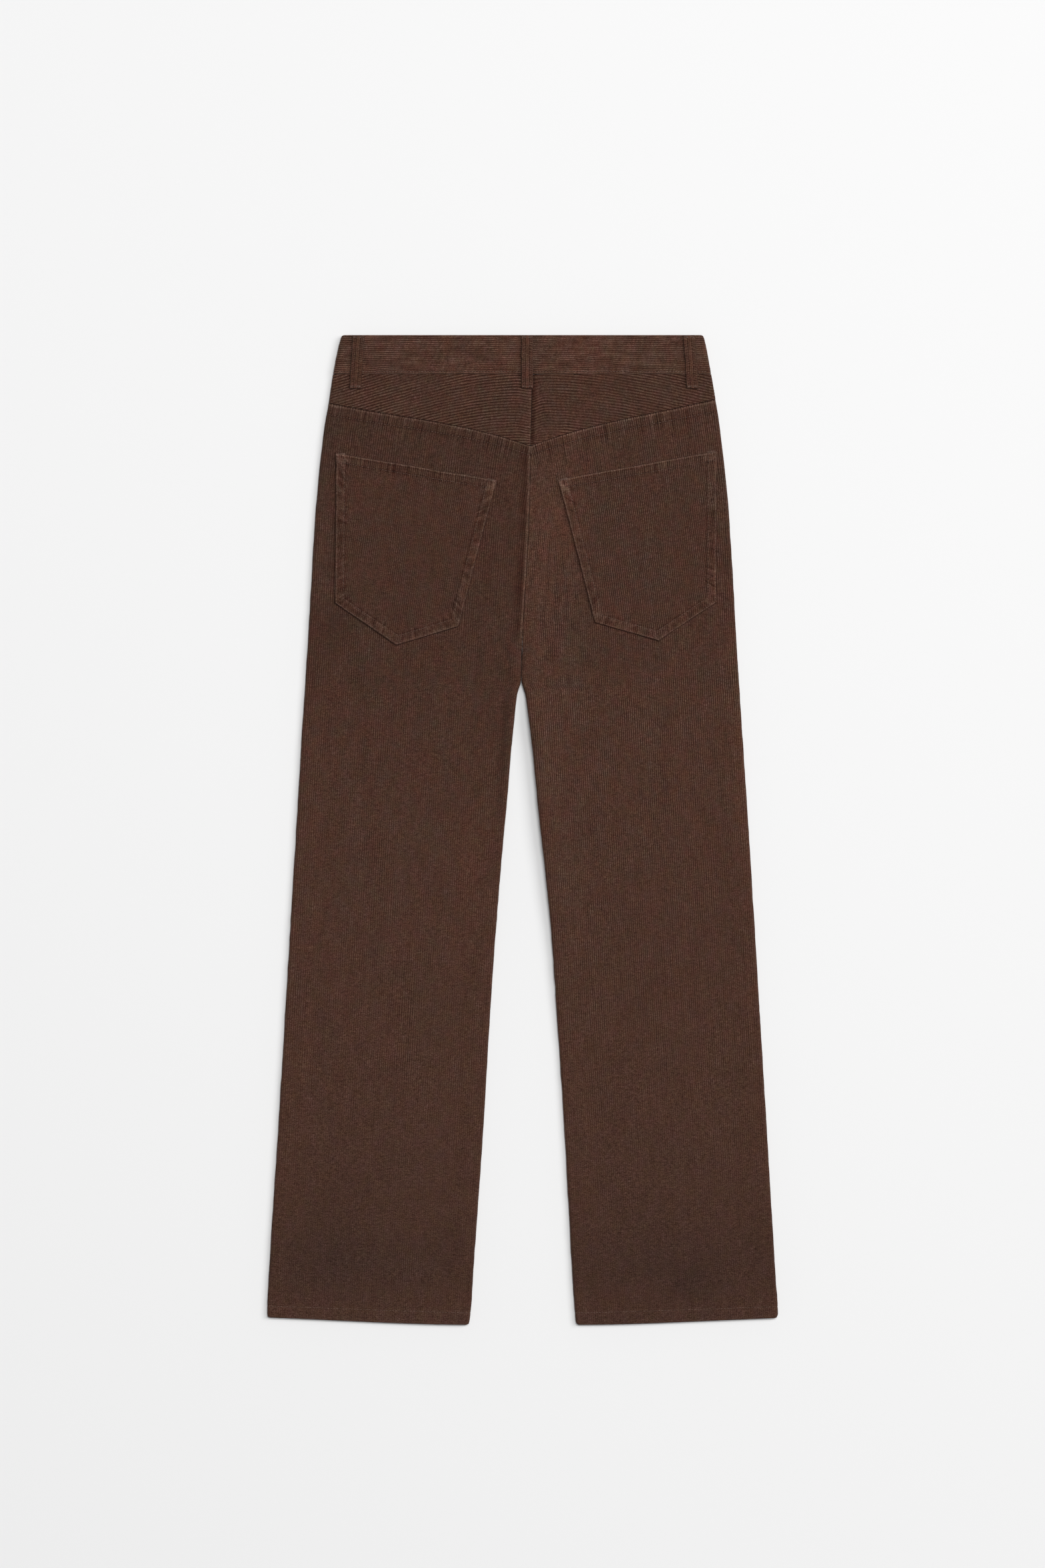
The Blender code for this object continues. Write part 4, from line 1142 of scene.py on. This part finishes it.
def back_pocket(side, seed):
    x, y, place, along = pocket_lines(side)
    from_top, from_side = pocket_distances(side, x, y)
    from_edge = np.maximum(np.minimum(from_top, from_side), 0.0)
    edge_x = x + 0.35 * noise(seed + 3, x / 28.0, y / 28.0)
    edge_x = edge_x + 0.4 * noise(seed + 5, 0.5, y / 6.0) * fade(from_edge, 0.0, 9.0)
    edge_x = edge_x + WOBBLE * noise(seed + 2, place / 5.0, along / 13.0) * smooth(from_edge, 0.5, 4.0)
    surface = points(edge_x, y + 0.35 * noise(seed + 4, x / 28.0, y / 28.0), pocket_height(side, x, y))

    middle = np.mean(POCKETS[side], axis=0)[0]
    around = np.arctan2(y - POCKET_MIDDLE_Y, x - middle) * POCKET_MEAN_RADIUS
    in_band = fade(from_side, POCKET_SECOND_ROW + 2.0, POCKET_SECOND_ROW + 5.0)
    in_hem = fade(from_top, POCKET_HEM_WIDTH - 1.0, POCKET_HEM_WIDTH + 3.0)
    press = POCKET_PRESS[side] * clearness(x, y) * (1 + 0.3 * in_hem - 0.1 * in_band)
    press = press * (1 - 0.65 * bell(from_edge - 0.8, 1.5))
    wales = np.arange(x.shape[1]) / COLUMNS_A_WALE
    relief, ribs = nap(seed, rib_profile(wales), place, along, press)
    rungs = 0.9 * in_band * rung_pair((seed + 11, seed + 16), around, 1.7)
    rungs = rungs + in_hem * rung_pair((seed + 17, seed + 18), place, 1.4)
    rungs = rungs * smooth(from_edge, 0.3, 1.6)
    holes = 0.5 * needle_holes(seed + 12, around, from_side - POCKET_SECOND_ROW)
    holes = holes + needle_holes(seed + 13, place, from_top - POCKET_HEM_ROW)
    waves = noise(seed + 19, around / 5.5, from_side / 8.0) * bell(from_side - 5.0, 4.5)
    relief = relief - edge_drop(from_edge, POCKET_ROUND) + 0.4 * rungs - 0.3 * holes
    relief = relief + 0.9 * waves * smooth(from_edge, 0.0, 1.5)

    lump = beads(seed + 14, np.where(from_top < from_side, place, around), RIM_BEADS)
    rim = (0.4 + 0.55 * lump) * bell(from_edge - 1.4, 0.9)
    rim = rim - 0.6 * (1 - 0.6 * lump) * bell(from_top - 3.0, 0.7)
    # The last term darkens the pocket's outline: painted shade where its edge turns down
    rim = rim * (1 + 0.9 * bell(from_top - 1.6, 1.6)) - 1.1 * bell(from_edge, 0.65)
    inner = beads(seed + 21, around, RIM_BEADS) * bell(from_side - POCKET_SECOND_ROW + 0.8, 1.0)
    row = bell(from_side - POCKET_SECOND_ROW - 1.2, 0.9) + bell(from_top - POCKET_HEM_ROW, 0.9)
    # Holes and row darken the cloth: painted shade in the needle pits and the stitched grooves
    ribs = ribs + 0.6 * rungs - 0.6 * holes + 0.5 * waves + rim + 0.55 * inner - 0.35 * row
    ribs = ribs + corner_nap(side, x, y)
    wall = POCKET_CLOTH - 0.1 + POCKET_EDGE_RAISE * 0.5
    tone = POCKET_TONE[side], 0.0
    drop = POCKET_CLOTH - POCKET_SIDE_END
    lay = place, along
    thick_cloth("back_pocket_" + side, surface, relief, drop, wall, ribs, tone, lay, (6, 8))


def with_skirt(values, shape):
    """Fills a grid's shape and repeats its outermost rows and columns, for the side of a thick edge."""
    values = np.broadcast_to(values, shape + np.shape(values)[2:])
    return np.pad(values, [(1, 1), (1, 1)] + [(0, 0)] * (values.ndim - 2), mode="edge")


def thick_cloth(node, surface, relief, drop, wall, ribs, tone, lay, steps, streak=1.0):
    """A level shell whose edges have a side that comes down by a drop."""
    grids = surface, relief, drop, wall, ribs, streak, *lay
    surface, relief, drop, wall, ribs, streak, *lay = [with_skirt(grid, relief.shape) for grid in grids]
    rim = np.ones(relief.shape)
    rim[1:-1, 1:-1] = 0.0
    shade = shade_at(surface[..., 0], surface[..., 1], *tone)
    shade[..., :3] *= streak[..., None]
    normal = np.broadcast_to((0.0, 0.0, 1.0), surface.shape)
    cloth(node, surface, normal, relief - rim * drop, wall, ribs, shade, lay, steps)


# --- Belt loops ---

def loop_stations():
    """Height along the loop, its underside and its cloth's thickness, from the top end down."""
    band_top = BAND_HEIGHT + SEAM_GAP
    yoke_top = EDGE_HEIGHT + SEAT_LOFT + SEAM_GAP
    lift_off = BAND_SEAM_Y - 1.0
    touch_down = LOOP_BOTTOM_Y + LOOP_END_LENGTH
    y = np.concatenate([
        LOOP_TOP_Y - np.array(LOOP_STOPS_BELOW_TOP),
        np.linspace(LOOP_TOP_Y - 7.4, lift_off, 50),
        np.linspace(lift_off - 0.7, touch_down + 1.8, 12),
        LOOP_BOTTOM_Y + np.array(LOOP_STOPS_ABOVE_END),
    ])
    over_band = smooth(y, touch_down, lift_off)
    bow_top = LOOP_TOP_Y - LOOP_END_LENGTH
    share = np.clip((bow_top - y) / (bow_top - lift_off), 0.0, 1.0)
    under = yoke_top + (band_top - yoke_top + LOOP_BOW * np.sin(math.pi * share)) * over_band
    low_end = fade(y, touch_down - 0.2, touch_down + 1.0)
    ends = np.maximum(smooth(y, LOOP_TOP_Y - 6.2, LOOP_TOP_Y - 5.0), low_end)
    return y, under, LOOP_CLOTH + (LOOP_END_CLOTH - LOOP_CLOTH) * ends


def loop_middle(loop, y):
    return loop.top_x + (loop.bottom_x - loop.top_x) * (LOOP_TOP_Y - y) / (LOOP_TOP_Y - LOOP_BOTTOM_Y)


def belt_loop(loop, seed):
    y, under, thickness = (values[:, None] for values in loop_stations())
    shares = np.linspace(0.0, 1.0, LOOP_WALES * COLUMNS_A_WALE + 1)
    sides = LOOP_WIDTH * (shares - 0.5)
    from_middle = np.abs(sides)
    from_side = LOOP_WIDTH / 2 - from_middle
    middle = loop_middle(loop, y)
    x = middle + sides + 0.3 * drift(seed, y, 9.0)
    x = x + 0.3 * noise(seed + 4, y / 3.0, np.sign(sides)) * fade(from_side, 0.5, 3.0)
    surface = points(x, y, under + thickness)
    relief, ribs = nap(seed, rib_profile(shares * LOOP_WALES), sides + 0 * x, y + 0 * x, LOOP_PRESS)
    phase = y / LOOP_BEADS + 0.12 * from_middle + drift(seed + 3, y, 9.0)
    lumps = np.cos(2 * math.pi * phase) * (bell(from_middle - 3.3, 1.4) + 0.5 * bell(from_side, 1.0))
    lumps = lumps * (1 + 0.6 * drift(seed + 5, y, 4.0))
    crown = 0.3 * bell(sides, 1.5) - 0.2 * bell(from_middle - 2.1, 0.6)
    from_end = np.minimum(LOOP_TOP_Y - y, y - LOOP_BOTTOM_Y)
    relief = 0.6 * relief + 0.25 * lumps + crown - edge_drop(from_side, 0.9) - edge_drop(from_end, 0.9)
    # The dark part of edge is painted shade along the loop's rounded sides; the dark rows beside the crown
    # are painted shade in its grooves
    edge = 0.15 * bell(from_side - 1.2, 0.7) - 0.7 * bell(from_side, 0.55)
    ribs = ribs + 0.7 * lumps + edge - 0.3 * bell(from_middle - 2.1, 0.5)
    streak = 1 + 0.25 * bell(x - middle, 1.5)
    node, lay = "belt_loop_" + loop.name, (x, y)
    drop = thickness - LOOP_SIDE_END
    thick_cloth(node, surface, relief, drop, thickness, ribs, (1.0, 0.0), lay, (3, 4), streak)


# --- Sewing ---

def unit(vector):
    return vector / (np.linalg.norm(vector) + 1e-9)


def stitches(
    name, paths, owner, spacing=STITCH_SPACING, length=STITCH_LENGTH, width=STITCH_WIDTH, turn=False
):
    """Short threads along paths of surface points, or turned across them, joined into one piece."""
    shape = []
    for t, size in THREAD_RINGS:
        shape += [(t * length, a * size * width / 2, b * size * width / 2) for a, b in THREAD_SIDES]
    around = [(4 * ring + c, 4 * ring + (c + 1) % 4) for ring in range(3) for c in range(4)]
    skin = [(c, d, d + 4, c + 4) for c, d in around] + [(3, 2, 1, 0), (12, 13, 14, 15)]
    vertices, faces = [], []
    for path in paths:
        path = np.asarray(path, float)
        lengths = np.concatenate([[0.0], np.cumsum(np.linalg.norm(np.diff(path, axis=0), axis=1))])
        count = max(1, int(lengths[-1] / spacing))
        for middle in (np.arange(count) + 0.5) * lengths[-1] / count:
            places = middle - 0.5, middle + 0.5
            start, end = np.array([np.interp(places, lengths, column) for column in path.T]).T
            along = unit(end - start)
            side = unit(np.cross((0.0, 0.0, 1.0), along))
            if turn:
                along, side = side, along
            up = np.cross(along, side)
            up = up if up[2] > 0 else -up
            base = len(vertices)
            vertices += [(start + end) / 2 + along * t + side * a + up * b for t, a, b in shape]
            faces += [tuple(base + corner for corner in face) for face in skin]
    obj = mesh_object(name, vertices, faces)
    dress(obj, "thread")
    sewn.setdefault(owner, []).append(obj)


def panel_path(side, row_y, lift, front=False):
    """Points along a row of a panel, on its surface moved out."""
    sec = panel_section(side, np.array([row_y]), np.linspace(*PANEL_ROW_ENDS, 80), front)
    x, y, drop = sec.x[0], sec.y[0], sec.drop[0]
    return points(x, y, drop - lift if front else back_height(side, x, y) - drop + lift)


def seam_stitches():
    on_fell = FELL_HEIGHT - 0.1
    for side in SIDES:
        rows = [panel_path(side, YOKE_SEAM_LOW - d, on_fell) for d in (FIRST_ROW, YOKE_SECOND_ROW)]
        stitches("yoke_stitches_" + side, rows, "back_panel_" + side)
        stitches("hem_stitches_" + side, [panel_path(side, HEM_Y + HEM_ROW, -0.1)], "back_panel_" + side)
        front_hem = [panel_path(side, HEM_Y + HEM_ROW, -0.1, True)]
        stitches("front_hem_stitches_" + side, front_hem, "front_panel_" + side)
    y = np.linspace(CROTCH_Y + 6.0, YOKE_SEAM_LOW - YOKE_FELL_WIDTH - 1.0, 60)
    x = inner_x("left", y) - FIRST_ROW
    stitches("centre_stitches", [points(x, y, back_height("left", x, y) + on_fell)], "back_panel_left")
    y = np.linspace(*FLY_ROW_Y, 50)
    curve = np.sqrt(np.clip(1 - smooth(-y, -FLY_CURVE_Y, -y[-1]) ** 2, 0.0, 1.0))
    stitches("fly_stitches", [points(-FLY_WIDTH * curve - 1.5, y, 0.12)], "front_panel_left")


def band_stitches():
    y = BAND_SEAM_Y + BAND_ROW
    row = points(np.linspace(-BAND_ROW_END, BAND_ROW_END, 120), y, BAND_HEIGHT - 0.3)
    stitches("band_stitches", [row], "waistband_back")
    for side, end in (("left", OVERLAP), ("right", 0.9 * OVERLAP)):
        x = np.linspace(TOWARD_LEG[side] * FRONT_BAND_ROW_END, end, 60)
        row = points(x, y, 0.15 + (underlap(x) if side == "right" else 0.0))
        stitches("front_band_stitches_" + side, [row], "waistband_front_" + side)


def pocket_stitches(side):
    corners, _, inward = pocket_edges(side)

    def inset(k, before, after):
        """Where the edges before and after a corner meet, both moved in."""
        a, b = inward[k - 1], inward[k]
        return np.linalg.solve((a, b), (corners[k] @ a + before, corners[k] @ b + after))

    def path(places):
        places = np.array(places)
        share = np.linspace(0, len(places) - 1, 160)
        x, y = (np.interp(share, range(len(places)), column) for column in places.T)
        return points(x, y, pocket_height(side, x, y) - 0.05)

    rows = []
    for d, top in ((FIRST_ROW, 0.8), (POCKET_SECOND_ROW, 1.0)):
        rows.append(path([inset(1, top, d), *(inset(k, d, d) for k in (2, 3, 4)), inset(0, d, top)]))
    for d in (1.2, POCKET_HEM_ROW):
        rows.append(path([inset(0, 1.5, d), inset(1, d, 1.5)]))
    stitches("pocket_stitches_" + side, rows, "back_pocket_" + side)
    starts = (inset(0, 1.8, 1.2), inward[-1]), (inset(1, 1.2, 1.8), inward[1])
    tacks = [path([start, start + POCKET_TACK * step]) for start, step in starts]
    stitches("pocket_tacks_" + side, tacks, "back_pocket_" + side, *BARTACK)


def loop_stitches(loop):
    y, under, thickness = loop_stations()
    middle = loop_middle(loop, y)
    z = under + thickness - LOOP_ROW_SINK
    owner = "belt_loop_" + loop.name
    rows = [points(middle + d, y, z)[5:-5] for d in (-LOOP_ROW, LOOP_ROW)]
    stitches("loop_stitches_" + loop.name, rows, owner, *LOOP_STITCH)
    ends = -LOOP_TACK / 2, LOOP_TACK / 2
    tacks = [[(middle[k] + d, y[k], z[k] + LOOP_ROW_SINK) for d in ends] for k in LOOP_TACK_STATIONS]
    stitches("loop_tacks_" + loop.name, tacks, owner, *BARTACK)


# --- Zip and button ---

BOX_FACES = (0, 2, 3, 1), (4, 5, 7, 6), (0, 1, 5, 4), (2, 6, 7, 3), (0, 4, 6, 2), (1, 3, 7, 5)


def box_mesh(name, boxes, slot, node, bevel):
    """Boxes given as (low corner, high corner), joined into one piece."""
    vertices, faces = [], []
    for box in boxes:
        base = len(vertices)
        vertices += [(box[i][0], box[j][1], box[k][2]) for k in (0, 1) for j in (0, 1) for i in (0, 1)]
        faces += [tuple(base + corner for corner in face) for face in BOX_FACES]
    obj = mesh_object(name, vertices, faces)
    obj.data.shade_flat()
    modifier = obj.modifiers.new("edges", "BEVEL")
    modifier.width = bevel * MM
    modifier.segments = 2
    dress(obj, slot, node)


def zip_pieces():
    top = ZIP_TOP_Y
    bottom = top - ZIP_LENGTH
    tape_low = CLOTH + SEAM_GAP
    tape_top = tape_low + ZIP_TAPE
    half = ZIP_TAPE_WIDTH / 2
    tapes = [((x, bottom, tape_low), (x + half - 0.3, top, tape_top)) for x in (-half, 0.3)]
    box_mesh("zip_tapes", tapes, "zip_tape", "fly_zip", TAPE_BEVEL)
    teeth = []
    rows = (-TOOTH_REACH, TOOTH_HOLD, 0.0), (-TOOTH_HOLD, TOOTH_REACH, TOOTH_PITCH / 2)
    chain_top = top - SLIDER_LENGTH - 2 * SEAM_GAP
    for k in range(int((chain_top - bottom - 4.0) / TOOTH_PITCH)):
        y = bottom + 3.0 + k * TOOTH_PITCH
        for low, high, offset in rows:
            end = high, y + offset + TOOTH_WIDTH, tape_top + ZIP_CHAIN
            teeth.append(((low, y + offset, tape_top - TOOTH_SINK), end))
    box_mesh("zip_teeth", teeth, "dark_metal", None, TOOTH_BEVEL)
    low = tape_top + SEAM_GAP
    half = SLIDER_WIDTH / 2
    tab_low = low + ZIP_CHAIN
    tab_top = tab_low + TAB_HEIGHT
    tab, hole = TAB_WIDTH / 2, TAB_WIDTH / 2 - TAB_BAR
    near, far = chain_top + TAB_FOOT, chain_top - TAB_LENGTH
    slider = [
        ((-half, chain_top + SEAM_GAP, low), (half, top - SEAM_GAP, low + SLIDER_HEIGHT)),
        ((-tab, far, tab_low), (-hole, near, tab_top)),
        ((hole, far, tab_low), (tab, near, tab_top)),
        ((-hole, far, tab_low), (hole, far + TAB_FOOT, tab_top)),
        ((-hole, chain_top - TAB_EYE, tab_low), (hole, near, tab_top)),
    ]
    box_mesh("zip_slider", slider, "dark_metal", "fly_zip_slider", SLIDER_BEVEL)


def button():
    """A turned button: a raised rim, a shallow bowl and the shank behind."""
    angles = 2 * math.pi * np.arange(BUTTON_SEGMENTS) / BUTTON_SEGMENTS
    rings = [points(r * np.cos(angles), r * np.sin(angles), z) for r, z in BUTTON_PROFILE]
    vertices = np.concatenate([[(0.0, 0.0, BUTTON_DIP)], *rings, [(0.0, 0.0, BAND_CLOTH)]])
    following = [(k, (k + 1) % BUTTON_SEGMENTS) for k in range(BUTTON_SEGMENTS)]
    faces = [(0, 1 + n, 1 + k) for k, n in following]
    for ring in range(len(rings) - 1):
        low = 1 + ring * BUTTON_SEGMENTS
        high = low + BUTTON_SEGMENTS
        faces += [(low + k, low + n, high + n, high + k) for k, n in following]
    faces += [(high + k, high + n, len(vertices) - 1) for k, n in following]
    obj = mesh_object("button", vertices + (BUTTON_X, BUTTON_Y, 0.0), faces)
    obj.data.set_sharp_from_angle(angle=BUTTON_SHARP)
    dress(obj, "dark_metal", "waist_button")


# --- Materials ---

def set_inputs(tree, made, inputs):
    """Gives a node's inputs values, or links them to another node's output."""
    for name, value in inputs.items():
        if isinstance(value, bpy.types.NodeSocket):
            tree.links.new(value, made.inputs[name])
        else:
            made.inputs[name].default_value = value


def node(tree, kind, inputs=None, **settings):
    made = tree.nodes.new("ShaderNode" + kind)
    for name, value in settings.items():
        setattr(made, name, value)
    set_inputs(tree, made, inputs or {})
    return made


def new_material(name, **inputs):
    """A material with the values that its shader starts with."""
    mat = materials[name] = bpy.data.materials.new(name)
    mat.use_nodes = True
    tree = mat.node_tree
    shader = tree.nodes["Principled BSDF"]
    set_inputs(tree, shader, {key.replace("_", " "): value for key, value in inputs.items()})
    return tree, shader


def position(tree):
    return node(tree, "NewGeometry").outputs["Position"]


def map_range(tree, value, source, result, **settings):
    names = "From Min", "From Max", "To Min", "To Max"
    inputs = dict(zip(names, (*source, *result)), Value=value)
    return node(tree, "MapRange", inputs, **settings).outputs[0]


def noise_range(tree, vector, scale, low=0.0, high=1.0, detail=2.0):
    """Noise in a vector's units times a scale for each axis, spread between two values."""
    stretch = node(tree, "VectorMath", {0: vector, 1: scale}, operation="MULTIPLY").outputs[0]
    texture = node(tree, "TexNoise", {"Scale": 1.0, "Detail": detail, "Vector": stretch})
    return map_range(tree, texture.outputs["Fac"], NOISE_SPAN, (low, high))


def mix_colours(tree, factor, first, second, **settings):
    """A colour between two others, or what the settings make of them."""
    inputs = {"Factor": factor, "A": first, "B": second}
    return node(tree, "Mix", inputs, data_type="RGBA", clamp_factor=False, **settings).outputs["Result"]


def spread_tone(tree, vector, scale, amount, detail=2.0):
    """A factor that makes the pile lighter and greyer in places, darker and richer in others."""
    dark, light = ((*(1.0 + a * weight for weight in (0.8, 1.0, 1.15)), 1.0) for a in (-amount, amount))
    return mix_colours(tree, noise_range(tree, vector, scale, detail=detail), dark, light)


def hue_drift(tree, vector, scale, amount, clear):
    """A factor that makes the brown redder in places and more olive in others."""
    inputs = {0: noise_range(tree, vector, scale, -0.5, 0.5, 3.0), 1: clear, 2: 0.5}
    share = node(tree, "Math", inputs, operation="MULTIPLY_ADD").outputs[0]
    red = (1.0 + amount, 1.0 - amount * 0.4, 1.0 - amount * 0.6, 1.0)
    olive = (1.0 - amount, 1.0 + amount * 0.4, 1.0 + amount * 0.2, 1.0)
    return mix_colours(tree, share, red, olive)


def add_bump(tree, shader, height, strength, distance):
    inputs = {"Strength": strength, "Distance": distance, "Height": height}
    tree.links.new(node(tree, "Bump", inputs).outputs["Normal"], shader.inputs["Normal"])


def corduroy_material():
    """Cut pile: dark grooves and lighter ribs, partly painted shade in the grooves and painted sheen on the
    ribs; broken streaks, patches of warmer and greyer brown.
    """
    sheen = {"Sheen_Weight": 0.12, "Sheen_Roughness": 0.45, "Sheen_Tint": SHEEN}
    tree, shader = new_material("corduroy", Roughness=0.88, Specular_IOR_Level=0.15, **sheen)
    place = position(tree)
    rib, shade, lay = (
        node(tree, "Attribute", attribute_name=name).outputs[output]
        for name, output in (("rib", "Fac"), ("shade", "Color"), ("lay", "Vector"))
    )
    height = node(tree, "SeparateXYZ", {0: place}).outputs["Y"]
    clear = map_range(tree, height, HUE_SPAN_Y, HUE_CLEAR)
    factors = (
        shade,
        # breaks along the ribs, grain, tufts and clouds
        spread_tone(tree, lay, (230.0, 620.0, 1.0), 0.19),
        spread_tone(tree, place, (1000.0, 1000.0, 1000.0), 0.62, 3.0),
        spread_tone(tree, lay, (180.0, 330.0, 1.0), 0.16),
        spread_tone(tree, place, (105.0, 60.0, 105.0), 0.09, 3.0),
        # wide and small patches of other hues
        hue_drift(tree, place, (26.0, 16.0, 26.0), 0.024, clear),
        hue_drift(tree, place, (110.0, 90.0, 110.0), 0.045, clear),
        mix_colours(tree, noise_range(tree, place, (95.0, 80.0, 60.0), detail=3.0), MAUVE, STRAW),
    )
    # Groove to ridge colour: the pile's own colour, with painted shade in the grooves and painted sheen on
    # the ridges
    colour = mix_colours(tree, rib, GROOVE, RIDGE)
    for factor in factors:
        colour = mix_colours(tree, 1.0, colour, factor, blend_type="MULTIPLY")
    tree.links.new(colour, shader.inputs["Base Color"])
    fibres = noise_range(tree, place, (2400.0, 1200.0, 2400.0), detail=3.0)
    add_bump(tree, shader, fibres, *FIBRE_BUMP)


def thread_material():
    tree, shader = new_material("thread", Roughness=0.85, Specular_IOR_Level=0.1)
    place = position(tree)
    fade = noise_range(tree, place, (420.0, 420.0, 420.0))
    tree.links.new(mix_colours(tree, fade, THREAD_DARK, THREAD_LIGHT), shader.inputs["Base Color"])
    twist = node(tree, "TexWave", {"Scale": TWIST, "Vector": place}, bands_direction="DIAGONAL")
    add_bump(tree, shader, twist.outputs["Fac"], *THREAD_BUMP)


def tape_material():
    tree, shader = new_material("zip_tape", Roughness=0.85)
    inputs = {"Scale": WEAVE, "Color1": TAPE_LIGHT, "Color2": TAPE_DARK, "Vector": position(tree)}
    weave = node(tree, "TexChecker", inputs)
    tree.links.new(weave.outputs["Color"], shader.inputs["Base Color"])


def metal_material():
    tree, shader = new_material("dark_metal", Roughness=0.4, Metallic=1.0)
    place = position(tree)
    wear = noise_range(tree, place, (300.0, 300.0, 300.0), detail=4.0)
    tree.links.new(mix_colours(tree, wear, METAL_DARK, METAL_LIGHT), shader.inputs["Base Color"])
    rough = noise_range(tree, place, (900.0, 900.0, 900.0), 0.32, 0.5)
    tree.links.new(rough, shader.inputs["Roughness"])


# --- Stage ---

def put(name, data, location):
    obj = bpy.data.objects.new(name, data)
    bpy.context.scene.collection.objects.link(obj)
    obj.location = location
    return obj


def camera():
    data = bpy.data.cameras.new("camera")
    data.lens = LENS
    data.sensor_width = SENSOR
    data.clip_end = CLIP_END
    height = FRAME_HEIGHT * LENS / SENSOR + EDGE_HEIGHT * MM
    bpy.context.scene.camera = put("camera", data, (0.0, FRAME_CENTRE_Y, height))


def area_light(light):
    data = bpy.data.lights.new(light.name, "AREA")
    data.size = light.size
    data.energy = light.power
    obj = put(light.name, data, light.place)
    obj.rotation_euler = (-Vector(light.place)).to_track_quat("-Z", "Y").to_euler()
    obj.visible_camera = False


def stage():
    bpy.ops.mesh.primitive_plane_add(size=FLOOR_SIZE)
    floor = bpy.context.object
    floor.name = "floor"
    new_material("floor", Base_Color=FLOOR_COLOUR, Roughness=0.9, Specular_IOR_Level=0.1)
    floor.data.materials.append(materials["floor"])
    world = bpy.context.scene.world = bpy.data.worlds.new("world")
    world.use_nodes = True
    tree = world.node_tree
    height = node(tree, "SeparateXYZ", {0: node(tree, "TexCoord").outputs["Generated"]}).outputs["Z"]
    glow = map_range(tree, height, HORIZON, (HORIZON_LIGHT, SKY_LIGHT), interpolation_type="SMOOTHSTEP")
    set_inputs(tree, tree.nodes["Background"], {"Strength": glow, "Color": (1.0, 1.0, 1.0, 1.0)})
    for light in LIGHTS:
        area_light(light)
    bpy.context.scene.view_settings.view_transform = "Standard"


def declare_sheets():
    """Lists, for each shell, the shells that it rests on; nothing reads the list."""
    rests = {"waistband_back": ["waistband_front_left_cloth", "waistband_front_right_cloth"]}
    for side in SIDES:
        rests["back_panel_" + side] = ["front_panel_" + side + "_cloth"]
        rests["back_yoke_" + side] = rests["back_pocket_" + side] = ["back_panel_" + side + "_cloth"]
    for loop in LOOPS:
        rests["belt_loop_" + loop.name] = ["waistband_back_cloth"]


def build():
    for make in (corduroy_material, thread_material, tape_material, metal_material):
        make()
    for number, side in enumerate(SIDES):
        for make in (back_panel, front_panel, back_yoke, back_pocket, waistband_front):
            make(side, SEEDS[make.__name__] + SEED_STEP * number)
        pocket_stitches(side)
    waistband_back(SEEDS["waistband_back"])
    for number, loop in enumerate(LOOPS):
        belt_loop(loop, SEEDS["belt_loop"] + SEED_STEP * number)
        loop_stitches(loop)
    for make in (seam_stitches, band_stitches, zip_pieces, button, camera, stage, declare_sheets):
        make()


build()
